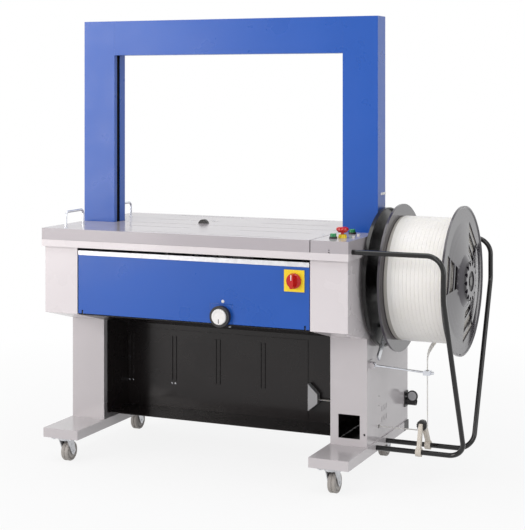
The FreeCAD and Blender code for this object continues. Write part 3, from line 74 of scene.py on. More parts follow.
# %% Level camera with a shifted lens
eye = (1.8653, -4.3244, 1.2547)
level, heading = math.pi / 2, 0.4114
lens = bpy.data.cameras.new("camera")
lens.lens = 95.31
lens.sensor_width = 36
lens.shift_y = -0.3335
camera = bpy.data.objects.new("camera", lens)
camera.location = eye
camera.rotation_euler = (level, 0, heading)
bpy.context.scene.collection.objects.link(camera)
bpy.context.scene.camera = camera
print("camera at", eye, "heading", heading)

# %% [markdown]
# ## Small helpers for materials
# Every finish below is a node tree on object coordinates, in metres, so its grain keeps its real size on each
# piece. These helpers only add nodes and wire them, which keeps the recipes short enough to read.

# %% Helpers that add and wire nodes
bpy.context.scene.view_settings.view_transform = "Standard"


def colour(red, green, blue):
    """A screen colour, 0 to 255, as the linear colour that a shader takes."""
    return [((value / 255 + 0.055) / 1.055) ** 2.4 for value in (red, green, blue)] + [1]


def new_finish(name, roughness, metallic=0.0, coat=0.0, coat_roughness=0.12, specular=0.5):
    material = bpy.data.materials.new(name)
    material.use_nodes = True
    shader = material.node_tree.nodes["Principled BSDF"]
    shader.inputs["Roughness"].default_value = roughness
    shader.inputs["Metallic"].default_value = metallic
    shader.inputs["Coat Weight"].default_value = coat
    shader.inputs["Coat Roughness"].default_value = coat_roughness
    shader.inputs["Specular IOR Level"].default_value = specular
    return material, shader


def add(material, kind, **settings):
    node = material.node_tree.nodes.new("ShaderNode" + kind)
    for name, value in settings.items():
        setattr(node, name, value)
    return node


def wire(material, source, target):
    material.node_tree.links.new(source, target)


def noise(material, scale, detail=2.0, stretch=(1, 1, 1)):
    """Noise on object coordinates; stretch squeezes it along an axis."""
    place = add(material, "TexCoord")
    mapping = add(material, "Mapping")
    mapping.inputs["Scale"].default_value = stretch
    texture = add(material, "TexNoise")
    texture.inputs["Scale"].default_value = scale
    texture.inputs["Detail"].default_value = detail
    wire(material, place.outputs["Object"], mapping.inputs["Vector"])
    wire(material, mapping.outputs["Vector"], texture.inputs["Vector"])
    return texture.outputs["Fac"]


def remap(material, value, low, high, start=0.3, end=0.7):
    node = add(material, "MapRange")
    for name, number in (("From Min", start), ("From Max", end), ("To Min", low), ("To Max", high)):
        node.inputs[name].default_value = number
    wire(material, value, node.inputs["Value"])
    return node.outputs["Result"]


def mixed(material, factor, first, second):
    """Colour between two others; each is a colour or the output of a node."""
    node = add(material, "Mix", data_type="RGBA")
    wire(material, factor, node.inputs["Factor"])
    for number, value in ((6, first), (7, second)):
        if isinstance(value, bpy.types.NodeSocket):
            wire(material, value, node.inputs[number])
        else:
            node.inputs[number].default_value = value
    return node.outputs[2]


def raised(material, shader, height, distance, round_edge=0.0):
    """Bump from a height, over edges that look rounded by round_edge metres."""
    bump = add(material, "Bump")
    bump.inputs["Distance"].default_value = distance
    bump.inputs["Strength"].default_value = 1
    wire(material, height, bump.inputs["Height"])
    if round_edge:
        edge = add(material, "Bevel", samples=4)
        edge.inputs["Radius"].default_value = round_edge
        wire(material, edge.outputs["Normal"], bump.inputs["Normal"])
    wire(material, bump.outputs["Normal"], shader.inputs["Normal"])


def edge_mask(material, radius):
    """About 1 on the outer edges of a piece and 0 on its flat faces."""
    edge = add(material, "Bevel", samples=4)
    edge.inputs["Radius"].default_value = radius
    face = add(material, "NewGeometry")
    turn = add(material, "VectorMath", operation="DOT_PRODUCT")
    wire(material, edge.outputs["Normal"], turn.inputs[0])
    wire(material, face.outputs["Normal"], turn.inputs[1])
    return remap(material, turn.outputs["Value"], 1.0, 0.0, 0.75, 0.98)


def product(material, *values):
    """Product of node outputs, which joins masks of 0 and 1."""
    result = values[0]
    for value in values[1:]:
        node = add(material, "Math", operation="MULTIPLY")
        wire(material, result, node.inputs[0])
        wire(material, value, node.inputs[1])
        result = node.outputs[0]
    return result


def within(material, axis, low, high):
    """1 where the object coordinate along an axis lies between two values, else 0."""
    place = add(material, "TexCoord")
    parts = add(material, "SeparateXYZ")
    wire(material, place.outputs["Object"], parts.inputs["Vector"])
    masks = []
    for operation, limit in (("GREATER_THAN", low), ("LESS_THAN", high)):
        node = add(material, "Math", operation=operation)
        wire(material, parts.outputs[axis], node.inputs[0])
        node.inputs[1].default_value = limit
        masks.append(node.outputs[0])
    return product(material, *masks)


def shade(tone, share):
    """The same colour, lighter above 1 and darker below."""
    return [min(1, value * share) for value in tone[:3]] + [1]


print("view transform:", bpy.context.scene.view_settings.view_transform)

# %% [markdown]
# ## Powder-coated sheet
# Nearly all covers are folded sheet with baked powder paint: an even colour, a soft gloss, the faint ripple
# that painters call orange peel, and slightly worn edges. One recipe makes all six coats, because only their
# colour, gloss and ripple differ. The ripple is bump, since it is far too fine to model.

# %% Powder coats
worn_edge = colour(190, 192, 196)
arch_blue = colour(0, 80, 174)


def powder_coat(name, tone, roughness, coat, worn, ripple=0.00003, specular=0.3):
    material, shader = new_finish(name, roughness, coat=coat, coat_roughness=roughness / 3,
                                  specular=specular)
    clouds = remap(material, noise(material, 2.2, 3), 0, 1)
    base = mixed(material, clouds, shade(tone, 0.965), shade(tone, 1.03))
    scuffs = remap(material, noise(material, 60, 4), 0, worn, 0.5, 0.72)
    edges = product(material, edge_mask(material, 0.0012), scuffs)
    base = mixed(material, edges, base, worn_edge)
    wire(material, base, shader.inputs["Base Color"])
    wire(material, remap(material, noise(material, 9, 3), roughness * 0.85, roughness * 1.2),
         shader.inputs["Roughness"])
    raised(material, shader, noise(material, 650, 1), ripple, 0.0009)
    return material


blue_coat = powder_coat("blue_coat", arch_blue, 0.3, 0.05, 0.4, specular=0.45)
light_coat = powder_coat("light_coat", colour(220, 214, 216), 0.26, 0.2, 0.25)
table_coat = powder_coat("table_coat", colour(180, 174, 178), 0.16, 0.0, 0.2, 0.000006)
grey_coat = powder_coat("grey_coat", colour(196, 191, 193), 0.22, 0.5, 0.3, 0.000012)
dark_coat = powder_coat("dark_coat", colour(26, 21, 21), 0.26, 0.1, 0.3)
black_coat = powder_coat("black_coat", colour(10, 9, 10), 0.12, 0.35, 0.2, 0.00001)
print("powder coats: blue, light, table, grey, dark, black")

# %% [markdown]
# ## Bare metals
# Zinc plating is dull with a patchy crystal bloom, chrome is nearly a mirror, and ground steel shows fine
# lines along the piece. The lines are noise squeezed along one axis, which bends the roughness and the bump.
# Cast arms are rough and warm grey, with a grainy skin.

# %% Zinc, chrome, steel and castings
def metal(name, tone, roughness, grain, stretch, depth):
    material, shader = new_finish(name, roughness, metallic=1.0)
    bloom = remap(material, noise(material, 70, 3), 0, 1)
    wire(material, mixed(material, bloom, shade(tone, 0.9), shade(tone, 1.08)), shader.inputs["Base Color"])
    lines = noise(material, grain, 2, stretch)
    wire(material, remap(material, lines, roughness * 0.7, roughness * 1.35), shader.inputs["Roughness"])
    raised(material, shader, lines, depth, 0.0006)
    return material


zinc_plate = metal("zinc_plate", colour(196, 197, 200), 0.42, 160, (1, 1, 1), 0.00003)
bright_chrome = metal("bright_chrome", colour(214, 216, 222), 0.09, 300, (1, 1, 1), 0.000004)
ground_steel = metal("ground_steel", colour(200, 203, 208), 0.24, 900, (1, 0.04, 0.04), 0.00002)


def casting(name, tone, roughness):
    material, shader = new_finish(name, roughness)
    grains = noise(material, 420, 4)
    wire(material, mixed(material, remap(material, grains, 0, 1), shade(tone, 0.86), shade(tone, 1.08)),
         shader.inputs["Base Color"])
    raised(material, shader, grains, 0.0002, 0.0015)
    return material


cast_arms = casting("cast_arms", colour(222, 214, 202), 0.55)
motor_coat = casting("motor_coat", colour(70, 72, 76), 0.5)
for material in (zinc_plate, bright_chrome, ground_steel, cast_arms, motor_coat):
    print("metal:", material.name)

# %% [markdown]
# ## Moulded plastics and rubber
# Moulded pieces have a fine spark-eroded grain and slightly uneven gloss. Caps and knobs are smoother than
# the black bodies under them, and the castor tyres are matte with dust in the grain.

# %% Plastics and rubber
floor_dust = colour(150, 146, 140)


def moulded(name, tone, roughness, grain=900, depth=0.00003, dust=0.0):
    material, shader = new_finish(name, roughness)
    wire(material, remap(material, noise(material, 25, 3), roughness * 0.8, roughness * 1.25),
         shader.inputs["Roughness"])
    flow = remap(material, noise(material, 12, 3), 0, 1)
    base = mixed(material, flow, shade(tone, 0.93), shade(tone, 1.06))
    if dust:
        powder = remap(material, noise(material, 140, 4), 0, dust, 0.45, 0.75)
        base = mixed(material, powder, base, floor_dust)
    wire(material, base, shader.inputs["Base Color"])
    raised(material, shader, noise(material, grain, 2), depth, 0.0008)
    return material


black_moulding = moulded("black_moulding", colour(30, 29, 30), 0.42)
red_cap = moulded("red_cap", colour(192, 20, 16), 0.16, 500, 0.00001)
yellow_plate = moulded("yellow_plate", colour(246, 214, 24), 0.35)
green_cap = moulded("green_cap", colour(38, 140, 84), 0.2, 500, 0.00001)
white_moulding = moulded("white_moulding", colour(232, 230, 228), 0.3)
grey_moulding = moulded("grey_moulding", colour(176, 176, 178), 0.45)
castor_tyre = moulded("castor_tyre", colour(168, 163, 158), 0.45, 300, 0.0001, 0.5)
print("plastics: black, red, yellow, green, white, grey, tyre")

# %% [markdown]
# ## Gloss-black flanges
# The reel's flanges are shiny dark plastic with fine rings round the axle, left by the mould. A picture of
# rings would have to be laid on by hand, so the noise runs along the distance from the axle instead. It
# varies colour, gloss and bump together, and the rings stay on the piece from any side.

# %% Flange plastic
reel_axle = spot(711, 15, 642)


def round_the_axle(material):
    """Distance of a point from the reel's axle, in metres."""
    place = add(material, "TexCoord")
    centred = add(material, "Mapping")
    centred.inputs["Location"].default_value = (0, -reel_axle.y, -reel_axle.z)
    centred.inputs["Scale"].default_value = (0, 1, 1)
    length = add(material, "VectorMath", operation="LENGTH")
    wire(material, place.outputs["Object"], centred.inputs["Vector"])
    wire(material, centred.outputs["Vector"], length.inputs[0])
    return length.outputs["Value"]


def flange_plastic():
    material, shader = new_finish("flange_plastic", 0.2, coat=0.4, coat_roughness=0.05)
    rings = add(material, "TexNoise", noise_dimensions="1D")
    rings.inputs["Scale"].default_value = 90
    wire(material, round_the_axle(material), rings.inputs["W"])
    base = mixed(material, remap(material, rings.outputs["Fac"], 0, 1), colour(34, 30, 37),
                 colour(56, 50, 60))
    wire(material, base, shader.inputs["Base Color"])
    wire(material, remap(material, rings.outputs["Fac"], 0.1, 0.22), shader.inputs["Roughness"])
    raised(material, shader, rings.outputs["Fac"], 0.0002, 0.0015)
    return material


flange_gloss = flange_plastic()
print("flange plastic turns about", tuple(round(value, 4) for value in reel_axle))

# %% [markdown]
# ## Dress the CAD nodes
# A CAD node keeps its mesh; only what is in its material slots changes. The list reads like a parts list, so
# a wrong coat is quick to find.

# %% Coat each node
coats = {
    blue_coat: "arch_frame arch_cover_left arch_cover_right arch_cover_top front_door",
    light_coat: "left_housing right_housing rear_panel table_rail",
    table_coat: "table_end front_lid rear_lid",
    grey_coat: "left_leg",
    dark_coat: "accumulator_box accumulator_cover floor_pan",
    black_coat: "reel_guard hinge_pins",
    motor_coat: "gear_motors",
    zinc_plate: "castor_plates fork_front_left fork_front_right fork_rear_left fork_rear_right head_frame "
                "door_grip",
    bright_chrome: "front_bow rear_bow brake_lever",
    ground_steel: "cam_shaft press_platen feed_roller pinch_roller",
    cast_arms: "roller_bracket",
    black_moulding: "strap_track parcel_stop button_rings reel_core strap_roller",
    red_cap: "estop_head switch_knob",
    yellow_plate: "estop_collar switch_plate",
    green_cap: "button_front button_rear",
    white_moulding: "panel_lamps tension_dial",
    grey_moulding: "control_box inlet_guide",
    castor_tyre: "wheel_front_left wheel_front_right wheel_rear_left wheel_rear_right",
    flange_gloss: "flange_inner flange_outer",
}
coated = set()
for material, names in coats.items():
    for name in names.split():
        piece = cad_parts[name]
        piece.data.materials.clear()
        piece.data.materials.append(material)
        coated.add(name)
print("still to dress:", sorted(set(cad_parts) - coated))

# %% [markdown]
# ## One node, two finishes
# Three CAD nodes are made of several real pieces: the reel bracket with its bare stay, the right leg with
# its black power inlet, and the dial's bezel on a painted plate. A material can pick its finish by place:
# masks of 0 and 1, made from the object coordinates, mark the second piece.

# %% Finishes chosen by place
far = 9
paint_bump = 0.0001


def two_finishes(name, mask_of, first, second):
    """Each finish is colour, roughness, metallic and bump depth in metres; the mask is 1 on the second."""
    material, shader = new_finish(name, 0.3)
    mask = mask_of(material)
    grain = noise(material, 500, 2)
    flow = remap(material, noise(material, 6, 3), 0, 1)
    tones = [mixed(material, flow, shade(finish[0], 0.96), shade(finish[0], 1.04))
             for finish in (first, second)]
    wire(material, mixed(material, mask, *tones), shader.inputs["Base Color"])
    gloss = add(material, "Math", operation="MULTIPLY")
    wire(material, remap(material, mask, first[1], second[1], 0, 1), gloss.inputs[0])
    wire(material, remap(material, grain, 0.85, 1.15), gloss.inputs[1])
    wire(material, gloss.outputs[0], shader.inputs["Roughness"])
    wire(material, remap(material, mask, first[2], second[2], 0, 1), shader.inputs["Metallic"])
    share = remap(material, mask, first[3] / paint_bump, second[3] / paint_bump, 0, 1)
    raised(material, shader, product(material, grain, share), paint_bump, 0.001)
    return material


def on_stay(material):
    return product(material, within(material, "X", spot(567.5, 0, 0).x, far),
                   within(material, "Z", 0, spot(0, 0, 540).z))


def on_inlet(material):
    return product(material, within(material, "X", spot(540.3, 0, 0).x, far),
                   within(material, "Y", spot(0, 246, 0).y, far), within(material, "Z", 0, spot(0, 0, 260).z))


def on_bezel(material):
    return within(material, "Y", -far, spot(0, -300.3, 0).y)


grey_paint = (colour(200, 195, 197), 0.15, 0.0, 0.00001)
blue_paint = (arch_blue, 0.3, 0.0, 0.00002)
black_paint = (colour(20, 18, 19), 0.2, 0.0, 0.00001)
black_plastic = (colour(30, 28, 29), 0.42, 0.0, 0.00003)
bare_steel = (colour(204, 206, 210), 0.26, 1.0, 0.00002)
by_place = {"reel_bracket": (on_stay, black_paint, bare_steel),
            "right_leg": (on_inlet, grey_paint, black_plastic),
            "dial_bezel": (on_bezel, blue_paint, black_plastic)}
for name, (mask_of, first, second) in by_place.items():
    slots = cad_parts[name].data.materials
    slots.clear()
    slots.append(two_finishes(name + "_finish", mask_of, first, second))
print("chosen by place:", sorted(by_place))

# %% [markdown]
# ## Strap plastic
# The strap is pale plastic tape with a fine diamond embossing. On a piece that bends, object coordinates
# would smear the diamonds, so each strap mesh carries its own attribute: metres along it and across it.

# %% Strap material
def strap_plastic():
    material, shader = new_finish("strap_plastic", 0.4, specular=0.25)
    shader.inputs["Subsurface Weight"].default_value = 0.1
    shader.inputs["Subsurface Radius"].default_value = (0.002, 0.002, 0.0015)
    along = add(material, "Attribute", attribute_name="along")
    heights = []
    for turn in (0.785, -0.785):
        tilt = add(material, "Mapping")
        tilt.inputs["Rotation"].default_value = (0, 0, turn)
        lines = add(material, "TexWave")
        lines.inputs["Scale"].default_value = 180
        wire(material, along.outputs["Vector"], tilt.inputs["Vector"])
        wire(material, tilt.outputs["Vector"], lines.inputs["Vector"])
        heights.append(lines.outputs["Fac"])
    both = add(material, "Math", operation="MULTIPLY")
    wire(material, heights[0], both.inputs[0])
    wire(material, heights[1], both.inputs[1])
    clouds = remap(material, noise(material, 8, 3), 0, 1)
    wire(material, mixed(material, clouds, colour(238, 235, 230), colour(246, 244, 240)),
         shader.inputs["Base Color"])
    raised(material, shader, both.outputs[0], 0.00004)
    return material


strap_tape = strap_plastic()


def shaded_stacked_strap():
    """Side of the wound strap: hundreds of thin layers, seen as rings, in tones darker than the tape as
    painted shade between the flanges.
    """
    material, shader = new_finish("shaded_stacked_strap", 0.45)
    rings = add(material, "TexNoise", noise_dimensions="1D")
    rings.inputs["Scale"].default_value = 900
    wire(material, round_the_axle(material), rings.inputs["W"])
    # The grey-brown tones are painted shade: the strap's side is pale, and these darken it as if it lay in
    # the flanges' shadow.
    wire(material, mixed(material, remap(material, rings.outputs["Fac"], 0, 1), colour(158, 153, 146),
                         colour(206, 202, 195)), shader.inputs["Base Color"])
    raised(material, shader, rings.outputs["Fac"], 0.0004)
    return material


shaded_strap_stack = shaded_stacked_strap()
print("strap materials:", strap_tape.name, shaded_strap_stack.name)

# %% [markdown]
# ## Meshes from points
# Two shapes come back again and again: pieces turned on a lathe, and flat tape that follows a path. A turned
# piece is a section swept round an axis. Doubles at the poles are merged and the normals recalculated, so no
# seam stays open.

# %% Lathe and piece helpers
def finish_piece(name, mesh, body, materials):
    """Put a mesh in the scene as a piece that rides on a body."""
    for material in materials:
        mesh.materials.append(material)
    piece = bpy.data.objects.new(name, mesh)
    bpy.context.scene.collection.objects.link(piece)
    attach(piece, body)
    print(name, len(mesh.polygons), "faces")
    return piece


def lathe(name, centre, axis, profile, segments):
    """Mesh turned about an axis; profile is a closed list of distance along and radius, in millimetres."""
    side = axis.orthogonal().normalized()
    shape = bmesh.new()
    rings = []
    for step in range(segments):
        spoke = Matrix.Rotation(2 * math.pi * step / segments, 3, axis) @ side
        rings.append([shape.verts.new(centre + axis * (along / 1000) + spoke * (radius / 1000))
                      for along, radius in profile])
    for ring, after in zip(rings, rings[1:] + rings[:1]):
        for index in range(len(profile)):
            ahead = (index + 1) % len(profile)
            shape.faces.new((ring[index], ring[ahead], after[ahead], after[index]))
    bmesh.ops.remove_doubles(shape, verts=shape.verts, dist=1e-6)
    bmesh.ops.dissolve_degenerate(shape, edges=shape.edges, dist=1e-7)
    bmesh.ops.recalc_face_normals(shape, faces=shape.faces)
    mesh = bpy.data.meshes.new(name)
    shape.to_mesh(mesh)
    shape.free()
    return mesh


def smooth_below(mesh, degrees):
    """Smooth shading except over edges sharper than the angle."""
    mesh.shade_smooth()
    mesh.set_sharp_from_angle(angle=math.radians(degrees))


# %% [markdown]
# ## Wound strap
# On the full reel the last layer of strap runs in 14 turns from flange to flange, over hundreds of layers
# that only show at the sides. The layers below are one turned drum. The last layer is a helix, so Geometry
# Nodes lay a line of points round the drum by a rule and sweep the strap's flat section along it.

# %% A geometry tree with named sizes
def new_tree(name, sizes):
    """Geometry tree with a named input for each size, and one for the material."""
    tree = bpy.data.node_groups.new(name, "GeometryNodeTree")
    tree.interface.new_socket("Geometry", in_out="INPUT", socket_type="NodeSocketGeometry")
    tree.interface.new_socket("Geometry", in_out="OUTPUT", socket_type="NodeSocketGeometry")
    for label, value in sizes.items():
        tree.interface.new_socket(label, in_out="INPUT", socket_type="NodeSocketFloat").default_value = value
    tree.interface.new_socket("Material", in_out="INPUT", socket_type="NodeSocketMaterial")
    return tree, tree.nodes.new("NodeGroupInput"), tree.nodes.new("NodeGroupOutput")


def grown(tree, seed, values):
    """Run a tree on a seed mesh and return the result as a plain mesh."""
    carrier = bpy.data.objects.new("carrier", seed)
    bpy.context.scene.collection.objects.link(carrier)
    modifier = carrier.modifiers.new("grow", "NODES")
    modifier.node_group = tree
    for item in tree.interface.items_tree:
        if item.in_out == "INPUT" and item.name in values:
            modifier[item.identifier] = values[item.name]
    evaluated = carrier.evaluated_get(bpy.context.evaluated_depsgraph_get())
    mesh = bpy.data.meshes.new_from_object(evaluated)
    carrier.modifiers.remove(modifier)
    bpy.data.objects.remove(carrier)
    return mesh


def close_tree(tree, sizes, result, output):
    """End a tree in real geometry that carries its material."""
    realize = tree.nodes.new("GeometryNodeRealizeInstances")
    coat = tree.nodes.new("GeometryNodeSetMaterial")
    tree.links.new(result, realize.inputs[0])
    tree.links.new(realize.outputs[0], coat.inputs["Geometry"])
    tree.links.new(sizes.outputs["Material"], coat.inputs["Material"])
    tree.links.new(coat.outputs[0], output.inputs[0])


def maths(tree, operation, first, second=0.0):
    node = tree.nodes.new("ShaderNodeMath")
    node.operation = operation
    for socket, value in zip(node.inputs, (first, second)):
        if isinstance(value, bpy.types.NodeSocket):
            tree.links.new(value, socket)
        else:
            socket.default_value = value
    return node.outputs[0]


# %% [markdown]
# ### A helix by rule
# Every point of the helix follows from its number: the share of a turn gives the angle, and the turns so far
# give the place along the axle. The curve's normal is set to point away from the axle, or the tape would
# twist as it goes round. The length so far is stored before the sweep, for the embossing.

# %% The helix of strap
strap_thickness = 0.0008
winding_sizes = {"Turns": 14.0, "Pitch": 0.0127, "Radius": 0.1996, "Start": 0.0, "Width": 0.0124,
                 "Thickness": strap_thickness, "Points per turn": 96.0}


def winding_tree():
    tree, sizes, output = new_tree("winding", winding_sizes)
    make, link = tree.nodes.new, tree.links.new
    size = sizes.outputs
    count = maths(tree, "MULTIPLY", size["Turns"], size["Points per turn"])
    line = make("GeometryNodeMeshLine")
    link(maths(tree, "ADD", count, 1.0), line.inputs["Count"])
    turn = maths(tree, "DIVIDE", make("GeometryNodeInputIndex").outputs[0], size["Points per turn"])
    angle = maths(tree, "MULTIPLY", turn, 2 * math.pi)
    place = make("ShaderNodeCombineXYZ")
    link(maths(tree, "ADD", size["Start"], maths(tree, "MULTIPLY", turn, size["Pitch"])), place.inputs["X"])
    sideways = maths(tree, "MULTIPLY", maths(tree, "SINE", angle), size["Radius"])
    downwards = maths(tree, "MULTIPLY", maths(tree, "COSINE", angle), size["Radius"])
    link(maths(tree, "ADD", sideways, reel_axle.y), place.inputs["Y"])
    link(maths(tree, "SUBTRACT", reel_axle.z, downwards), place.inputs["Z"])
    bend = make("GeometryNodeSetPosition")
    link(line.outputs[0], bend.inputs["Geometry"])
    link(place.outputs[0], bend.inputs["Position"])
    path = make("GeometryNodeMeshToCurve")
    link(bend.outputs[0], path.inputs["Mesh"])
    outward = make("ShaderNodeVectorMath")
    outward.operation = "MULTIPLY_ADD"
    link(make("GeometryNodeInputPosition").outputs[0], outward.inputs[0])
    outward.inputs[1].default_value = (0, 1, 1)
    outward.inputs[2].default_value = (0, -reel_axle.y, -reel_axle.z)
    facing = make("GeometryNodeSetCurveNormal")
    facing.mode = "FREE"
    link(path.outputs[0], facing.inputs["Curve"])
    link(outward.outputs[0], facing.inputs["Normal"])
    section = make("GeometryNodeCurvePrimitiveQuadrilateral")
    link(size["Thickness"], section.inputs["Width"])
    link(size["Width"], section.inputs["Height"])
    along = make("GeometryNodeCaptureAttribute")
    along.capture_items.new("FLOAT", "length")
    link(facing.outputs[0], along.inputs["Geometry"])
    link(make("GeometryNodeSplineParameter").outputs["Length"], along.inputs["length"])
    sweep = make("GeometryNodeCurveToMesh")
    link(along.outputs["Geometry"], sweep.inputs["Curve"])
    link(section.outputs[0], sweep.inputs["Profile Curve"])
    sweep.inputs["Fill Caps"].default_value = True
    tape = make("ShaderNodeCombineXYZ")
    position = make("ShaderNodeSeparateXYZ")
    link(make("GeometryNodeInputPosition").outputs[0], position.inputs[0])
    link(along.outputs["length"], tape.inputs["X"])
    link(position.outputs["X"], tape.inputs["Y"])
    keep = make("GeometryNodeStoreNamedAttribute")
    keep.data_type = "FLOAT_VECTOR"
    keep.inputs["Name"].default_value = "along"
    link(sweep.outputs[0], keep.inputs["Geometry"])
    link(tape.outputs[0], keep.inputs["Value"])
    close_tree(tree, sizes, keep.outputs[0], output)
    return tree


coil_low, coil_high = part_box("strap_coil")
winding_length = winding_sizes["Turns"] * winding_sizes["Pitch"]
coil_start = (coil_low.x + coil_high.x) / 2 - winding_length / 2
winding_values = {"Start": coil_start, "Material": strap_tape}
winding_mesh = grown(winding_tree(), bpy.data.meshes.new("seed"), winding_values)
smooth_below(winding_mesh, 40)
winding = finish_piece("winding", winding_mesh, "reel", [])
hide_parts("strap_coil")
drum_half = (coil_high.x - coil_low.x) * 500
core_radius, side_radius, drum_radius, slope = 100, 197.5, 199.1, 1.5
drum_mesh = lathe("strap_layers", reel_axle, Vector((1, 0, 0)),
                  [(-drum_half, core_radius), (-drum_half, side_radius), (slope - drum_half, drum_radius),
                   (drum_half - slope, drum_radius), (drum_half, side_radius), (drum_half, core_radius)], 128)
smooth_below(drum_mesh, 30)
drum = finish_piece("strap_layers", drum_mesh, "reel", [shaded_strap_stack])
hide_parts("strap_coil")
print("winding size:", [round(value, 4) for value in winding.dimensions])

# %% [markdown]
# ## Strap from the reel to the leg
# The strap leaves the back of the reel, turns a quarter on its way down through the eye of the brake lever,
# rounds the roller and runs level into the leg. A sweep would need its twist set point by point, so the
# tape is built straight from its centre line and its direction across, as a sheet of quads with thickness.

# %% Tape along a path
def tape_mesh(name, stations, width, thickness):
    """Flat tape; each station is a centre and the direction across the tape."""
    centres = [centre for centre, across in stations]
    shape = bmesh.new()
    layer = shape.verts.layers.float_vector.new("along")
    rings, travelled = [], 0.0
    for index, (centre, across) in enumerate(stations):
        before, after = centres[max(index - 1, 0)], centres[min(index + 1, len(centres) - 1)]
        flow = (after - before).normalized()
        normal = across.cross(flow).normalized()
        across = flow.cross(normal).normalized()
        if index:
            travelled += (centre - centres[index - 1]).length
        ring = []
        for a, b in ((-1, -1), (1, -1), (1, 1), (-1, 1)):
            vertex = shape.verts.new(centre + across * (a * width / 2) + normal * (b * thickness / 2))
            vertex[layer] = (travelled, a * width / 2, 0)
            ring.append(vertex)
        rings.append(ring)
    for ring, after in zip(rings, rings[1:]):
        for index in range(4):
            ahead = (index + 1) % 4
            shape.faces.new((ring[index], ring[ahead], after[ahead], after[index]))
    shape.faces.new(rings[0][::-1])
    shape.faces.new(rings[-1])
    bmesh.ops.recalc_face_normals(shape, faces=shape.faces)
    mesh = bpy.data.meshes.new(name)
    shape.to_mesh(mesh)
    shape.free()
    smooth_below(mesh, 40)
    print(name, "is %.0f mm long" % (travelled * 1000))
    return mesh


# %% [markdown]
# ### The way down
# The first stretch is a Bezier curve from the coil to the top of the straight fall, and the tape makes its
# quarter turn along it. Below come the fall, a quarter circle round the roller, and the level stretch. A
# second, short strap runs from the leg to the black box under the table.

# %% Route of the strap
strap_width = 0.012
roller_x, roller_z, bend = 686, 176, 17.2
fall_x, strap_y = roller_x + bend, -9
leave, coil_radius = math.radians(62), 200.7
start = spot(720.8, 15 + coil_radius * math.cos(leave), 642 - coil_radius * math.sin(leave))
away = Vector((0, -math.sin(leave), -math.cos(leave)))
top = spot(fall_x, strap_y, 385)
handles = [start, start + away * 0.05, top + Vector((0, 0, 0.045)), top]
route = []
for step in range(25):
    share = step / 24
    rest = 1 - share
    weights = (rest ** 3, 3 * share * rest ** 2, 3 * share ** 2 * rest, share ** 3)
    centre = sum((handle * weight for handle, weight in zip(handles, weights)), Vector((0, 0, 0)))
    turn = share * math.pi / 2
    route.append((centre, Vector((math.cos(turn), math.sin(turn), 0))))
across = Vector((0, 1, 0))
for step in range(1, 9):
    route.append((top.lerp(spot(fall_x, strap_y, roller_z), step / 8), across))
for step in range(1, 13):
    angle = step / 12 * math.pi / 2
    x, z = roller_x + bend * math.cos(angle), roller_z - bend * math.sin(angle)
    route.append((spot(x, strap_y, z), across))
level_length = 158
for step in range(1, 9):
    route.append((spot(roller_x - step / 8 * level_length, strap_y, roller_z - bend), across))
inner_route = [(spot(x, 31, 216.7), across) for x in range(292, 457, 41)]
for name, stations in (("strap_down", route), ("strap_inside", inner_route)):
    tape = tape_mesh(name, stations, strap_width, strap_thickness)
    strap = finish_piece(name, tape, "machine", [strap_tape])
    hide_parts("strap_run")

# %% [markdown]
# ## Screws and bolts
# Sheet machines are held together by small pan-head screws. Each head is a flattened ball with a cross cut
# into it. Geometry Nodes place one head on every point and turn it to the direction stored there, so a
# new screw is only a new point in the list.

# %% The pan-head screw tree
def screw_tree():
    tree, sizes, output = new_tree("pan_heads", {"Head radius": 0.004, "Head height": 0.0022})
    make, link = tree.nodes.new, tree.links.new
    radius, height = sizes.outputs["Head radius"], sizes.outputs["Head height"]
    ball = make("GeometryNodeMeshUVSphere")
    ball.inputs["Segments"].default_value = 20
    ball.inputs["Rings"].default_value = 10
    ball.inputs["Radius"].default_value = 1
    flat = make("ShaderNodeCombineXYZ")
    for axis, value in (("X", radius), ("Y", radius), ("Z", height)):
        link(value, flat.inputs[axis])
    pressed = make("GeometryNodeTransform")
    link(ball.outputs["Mesh"], pressed.inputs["Geometry"])
    link(flat.outputs[0], pressed.inputs["Scale"])
    cross = make("GeometryNodeMeshBoolean")
    cross.operation = "DIFFERENCE"
    link(pressed.outputs[0], cross.inputs["Mesh 1"])
    for long_axis, short_axis in (("X", "Y"), ("Y", "X")):
        size = make("ShaderNodeCombineXYZ")
        link(maths(tree, "MULTIPLY", radius, 1.1), size.inputs[long_axis])
        link(maths(tree, "MULTIPLY", radius, 0.26), size.inputs[short_axis])
        link(height, size.inputs["Z"])
        bar = make("GeometryNodeMeshCube")
        link(size.outputs[0], bar.inputs["Size"])
        lift = make("ShaderNodeCombineXYZ")
        link(height, lift.inputs["Z"])
        raise_bar = make("GeometryNodeTransform")
        link(bar.outputs["Mesh"], raise_bar.inputs["Geometry"])
        link(lift.outputs[0], raise_bar.inputs["Translation"])
        link(raise_bar.outputs[0], cross.inputs["Mesh 2"])
    place_heads(tree, sizes, output, cross.outputs["Mesh"])
    return tree


def place_heads(tree, sizes, output, head):
    """One head on each point of the seed, turned to the direction kept in the facing attribute."""
    make, link = tree.nodes.new, tree.links.new
    facing = make("GeometryNodeInputNamedAttribute")
    facing.data_type = "FLOAT_VECTOR"
    facing.inputs["Name"].default_value = "facing"
    turn = make("FunctionNodeAlignRotationToVector")
    turn.axis = "Z"
    link(facing.outputs["Attribute"], turn.inputs["Vector"])
    points = make("GeometryNodeMeshToPoints")
    link(sizes.outputs["Geometry"], points.inputs["Mesh"])
    heads = make("GeometryNodeInstanceOnPoints")
    link(points.outputs[0], heads.inputs["Points"])
    link(head, heads.inputs["Instance"])
    link(turn.outputs[0], heads.inputs["Rotation"])
    close_tree(tree, sizes, heads.outputs[0], output)


